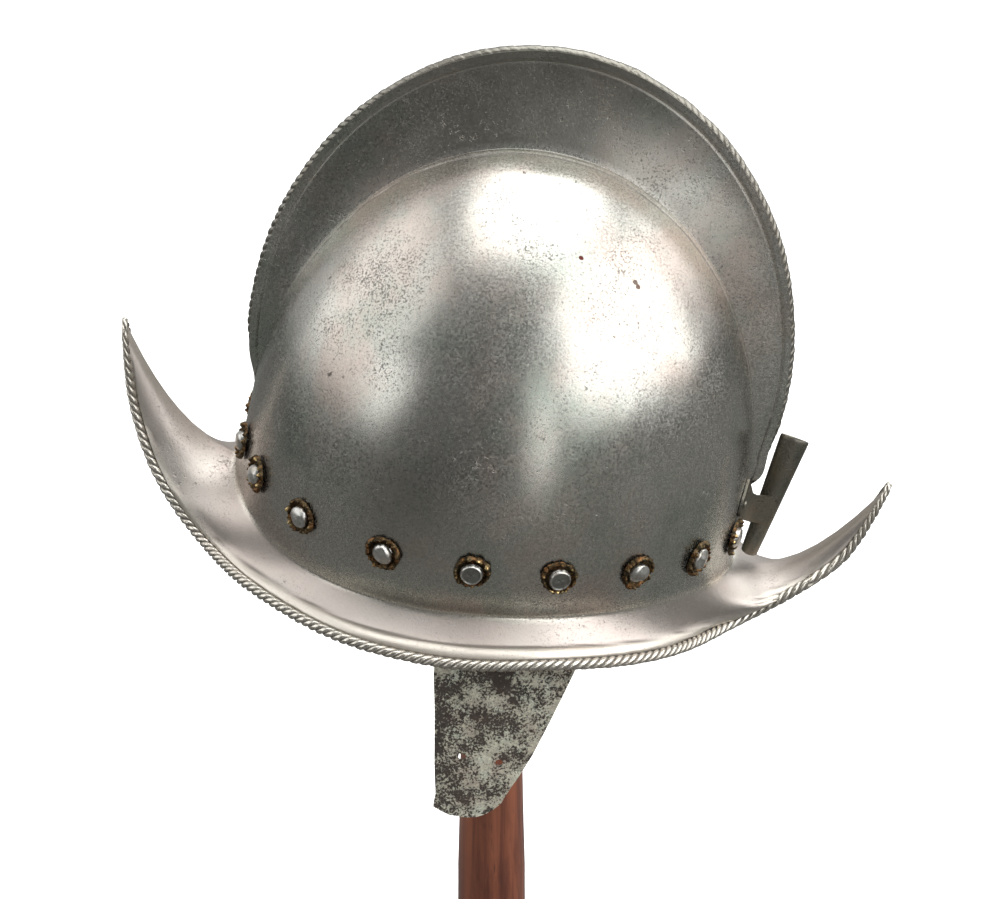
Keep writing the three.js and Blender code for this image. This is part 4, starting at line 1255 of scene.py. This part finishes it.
brassLook = {
    "tones": {"Base": (0.12, 0.085, 0.045, 1), "Warm": (0.26, 0.12, 0.045, 1),
              "Cool": (0.06, 0.052, 0.033, 1), "Cloud Size": 6.0, "Mottle": 0.9},
    "grime": {"Size": 1.0, "Cover": 0.45, "Patch Size": 6.0},
    "dirt": (0.025, 0.02, 0.012, 1),
    # worn is a painted highlight: the bright brass laid on the tops of the folds
    "worn": (0.8, 0.58, 0.27, 1),
    "roughness": 0.55,
    "bump": (0.6, 0.0004),
}


# Brass: dark with age, with grime, and a painted highlight of bright brass in places on the raised folds.
def brassMaterial(look):
    material, shader, place = newMaterial("aged brass")
    tone, grime = useGroup(patina, place, look["tones"]), useGroup(pitting, place, look["grime"])
    # wear is noise that breaks the painted highlight into patches and adds to the bump
    wear = noise(place, 260.0, 3.0)
    paintedFoldHighlight = times(ramp(mark(shader, "fold"), 0.8, 1.25), ramp(wear, 0.47, 0.62))
    colour = blend(paintedFoldHighlight, tone["Color"], look["worn"])
    colour = blend(times(grime["Pits"], 0.85), colour, look["dirt"])
    rough = minus(look["roughness"], times(paintedFoldHighlight, 0.25))
    setSurface(shader, look, colour, rough, plus(grime["Height"], wear))
    return material


pittedLook = {
    "tones": {"Base": (0.66, 0.64, 0.52, 1), "Warm": (0.56, 0.5, 0.41, 1), "Cool": (0.68, 0.69, 0.58, 1),
              "Cloud Size": 12.0, "Mottle": 1.6},
    "finePits": {"Size": 0.5, "Cover": 0.46, "Patch Size": 13.0, "Patchiness": 1.0, "Softness": 0.06},
    "largePits": {"Size": 1.1, "Cover": 0.2, "Patch Size": 17.0, "Patchiness": 1.3, "Softness": 0.06},
    "rust": ((0.02, 0.016, 0.014, 1), (0.07, 0.045, 0.035, 1)),
    "roughness": 0.5,
    "metal": 0.35,
    "bump": (0.8, 0.0006),
}


# The cheek plates: pale patina, and rust in the pits, which run together and are less of a metal.
def pittedMaterial(look):
    material, shader, place = newMaterial("pitted steel")
    tone = useGroup(patina, place, look["tones"])
    fine, large = useGroup(pitting, place, look["finePits"]), useGroup(pitting, place, look["largePits"])
    pits = higher(fine["Pits"], large["Pits"])
    rust = blend(tone["Cloud"], *look["rust"])
    colour = blend(times(pits, 0.96), tone["Color"], rust)
    rough = plus(times(pits, 0.2), look["roughness"])
    metal = minus(look["metal"], times(pits, 0.3))
    setSurface(shader, look, colour, rough, plus(fine["Height"], large["Height"]), metal)
    return material


holderLook = {
    "tones": {"Base": (0.2, 0.19, 0.16, 1), "Warm": (0.22, 0.185, 0.14, 1), "Cool": (0.15, 0.155, 0.13, 1),
              "Cloud Size": 22.0, "Mottle": 0.6},
    "pits": {"Size": 0.7, "Cover": 0.16, "Patch Size": 9.0, "Softness": 0.08},
    "pit": (0.06, 0.052, 0.04, 1),
    "roughness": 0.27,
    "bump": (0.4, 0.0003),
}


# The plume holder: dark patina with small pits.
def holderMaterial(look):
    material, shader, place = newMaterial("dark steel")
    tone, pits = useGroup(patina, place, look["tones"]), useGroup(pitting, place, look["pits"])
    colour = blend(times(pits["Pits"], 0.45), tone["Color"], look["pit"])
    rough = plus(times(tone["Grain"], 0.3), look["roughness"])
    setSurface(shader, look, colour, rough, pits["Height"])
    return material


woodLook = {
    "colours": {"Dark": (0.085, 0.022, 0.012, 1), "Light": (0.3, 0.095, 0.045, 1)},
    "upright": (1, 1, 0.07),          # how much the grain is stretched along each axis
    "level": (0.07, 1, 1),
    "roughness": 0.3,
    "coat": 0.5,
    "coatRoughness": 0.18,
    "bump": (0.35, 0.0002),
}


# Varnished wood: grain that runs along one axis, under a clear coat.
def woodMaterial(name, look, along):
    material, shader, place = newMaterial(name)
    grain = useGroup(uprightGrain, place, {**look["colours"], "Along": along})
    rough = plus(times(grain["Figure"], 0.2), look["roughness"])
    setSurface(shader, look, grain["Color"], rough, grain["Height"], 0.0)
    setInput(shader.inputs["Coat Weight"], look["coat"])
    setInput(shader.inputs["Coat Roughness"], look["coatRoughness"])
    return material


brass, pitted, darkSteel = brassMaterial(brassLook), pittedMaterial(pittedLook), holderMaterial(holderLook)
rivetSteel = rivetMaterial(rivetLook)
wood = woodMaterial("varnished wood", woodLook, woodLook["upright"])
baseWood = woodMaterial("varnished base wood", woodLook, woodLook["level"])

dress(shell, shellMaterial(steelLook), "patinated_steel", "helmet_shell")
for rivet, leaf, number in rivetSet:
    dress(rivet, rivetSteel, "rivet_steel", f"rivet_{number + 1:02d}")
    dress(leaf, brass, "rosette_brass", f"rosette_{number + 1:02d}")
dress(cheekLeft, pitted, "pitted_steel", "cheek_plate_left")
dress(cheekRight, pitted, "pitted_steel", "cheek_plate_right")
dress(holder, darkSteel, "dark_steel", "plume_holder")
dress(plumeRivets[0], darkSteel, "dark_steel", "plume_rivet_left")
dress(plumeRivets[1], darkSteel, "dark_steel", "plume_rivet_right")
dress(pole, wood, "stand_wood", "stand_pole")
dress(foot, baseWood, "stand_wood", "stand_base")


# Floor, light and camera follow. Places are metres, and angles are degrees.
view = {
    "target": (0.00397, 0.0, 0.3178),
    "azimuth": 5.1,
    "elevation": 24.4,
    "distance": 2.2194,
    "lens": 178.33,
}


# Turns an object to look from its place at the target, upright.
def aim(thing, look, target):
    turn, rise = math.radians(look["azimuth"]), math.radians(look["elevation"])
    toward = np.array([math.sin(turn) * math.cos(rise), -math.cos(turn) * math.cos(rise), math.sin(rise)])
    place = np.array(target) + toward * look["distance"]
    right = unit(np.cross((0, 0, 1), toward))
    up = np.cross(toward, right)
    matrix = np.eye(4)
    matrix[:3, 0], matrix[:3, 1], matrix[:3, 2], matrix[:3, 3] = right, up, toward, place
    thing.matrix_world = Matrix(matrix.tolist())


def addCamera():
    lens = bpy.data.cameras.new("camera")
    lens.lens, lens.sensor_width, lens.sensor_fit = view["lens"], 36.0, "HORIZONTAL"
    lens.clip_start, lens.clip_end = 0.05, 60.0
    camera = bpy.data.objects.new("camera", lens)
    bpy.context.scene.collection.objects.link(camera)
    aim(camera, view, view["target"])
    bpy.context.scene.camera = camera


# Soft panels round the helmet: direction (azimuth 0 is the camera's side, 90 the right), distance, width,
# height, and how bright a panel looks in the steel.
panels = {
    "right panel": (66, 28, 1.9, 2.5, 1.7, 3.4),
    "front strip": (19, 2, 1.9, 0.45, 1.3, 2.2),
    "overhead panel": (80, 82, 1.5, 1.5, 1.5, 3.0),
    "back ceiling": (165, 62, 1.8, 1.2, 0.9, 2.2),
    "left panel": (-84, 30, 1.9, 2.1, 1.7, 1.5),
    "left lamp": (-50, 13, 1.9, 0.5, 0.55, 2.2),
    "rear panel": (128, 26, 2.0, 1.2, 1.0, 2.2),
}


# A panel's power is its brightness times its area times pi.
def addPanel(name, azimuth, elevation, distance, width, height, brightness):
    light = bpy.data.lights.new(name, "AREA")
    light.shape, light.size, light.size_y = "RECTANGLE", width, height
    light.energy = brightness * width * height * math.pi
    panel = bpy.data.objects.new(name, light)
    bpy.context.scene.collection.objects.link(panel)
    aim(panel, {"azimuth": azimuth, "elevation": elevation, "distance": distance}, (0, 0, 0.38))


room = {
    "floor": (0.9, 0.9, 0.9, 1),
    "floorGlow": (0.3, 0.3, 0.3, 1),
    "mirrored": (0.13, 0.13, 0.125, 1),
    "front": (0.2, 0.2, 0.2, 1),
    "back": (0.85, 0.85, 0.85, 1),
}


# The floor: pale where it is looked at, and darker in what the steel mirrors.
def addFloor():
    grid = roundPoints(np.array([0.0, 14000.0])[:, None], fullRing(96), 0.0)
    floor = buildPiece("floor", [(grid, True, False, {})], 40, True)
    material, shader, _ = newMaterial("pale floor")
    seen = node("ShaderNodeLightPath", {}, shader.id_data)["Is Camera Ray"]
    values = {
        "Base Color": blend(seen, room["mirrored"], room["floor"]),
        "Emission Color": blend(seen, (0, 0, 0, 1), room["floorGlow"]),
        "Emission Strength": 1.0,
        "Roughness": 1.0,
        "Specular IOR Level": 0.0,
    }
    for key, value in values.items():
        setInput(shader.inputs[key], value)
    floor.data.materials.append(material)


# The room: a grey that brightens towards the back and overhead.
def setWorld():
    world = bpy.data.worlds.new("studio")
    world.use_nodes = True
    tree = world.node_tree
    axes = node("ShaderNodeSeparateXYZ", {0: node("ShaderNodeTexCoord", {}, tree)["Generated"]})
    behind = ramp(plus(axes[1], times(axes[2], 0.5)), -0.5, 1.1)
    setInput(tree.nodes["Background"].inputs[0], blend(behind, room["front"], room["back"]))
    bpy.context.scene.world = world


addCamera()
addFloor()
setWorld()
for name, look in panels.items():
    addPanel(name, *look)
bpy.context.scene.view_settings.view_transform = "Standard"
print("floor, light and camera:", len(panels), "panels")
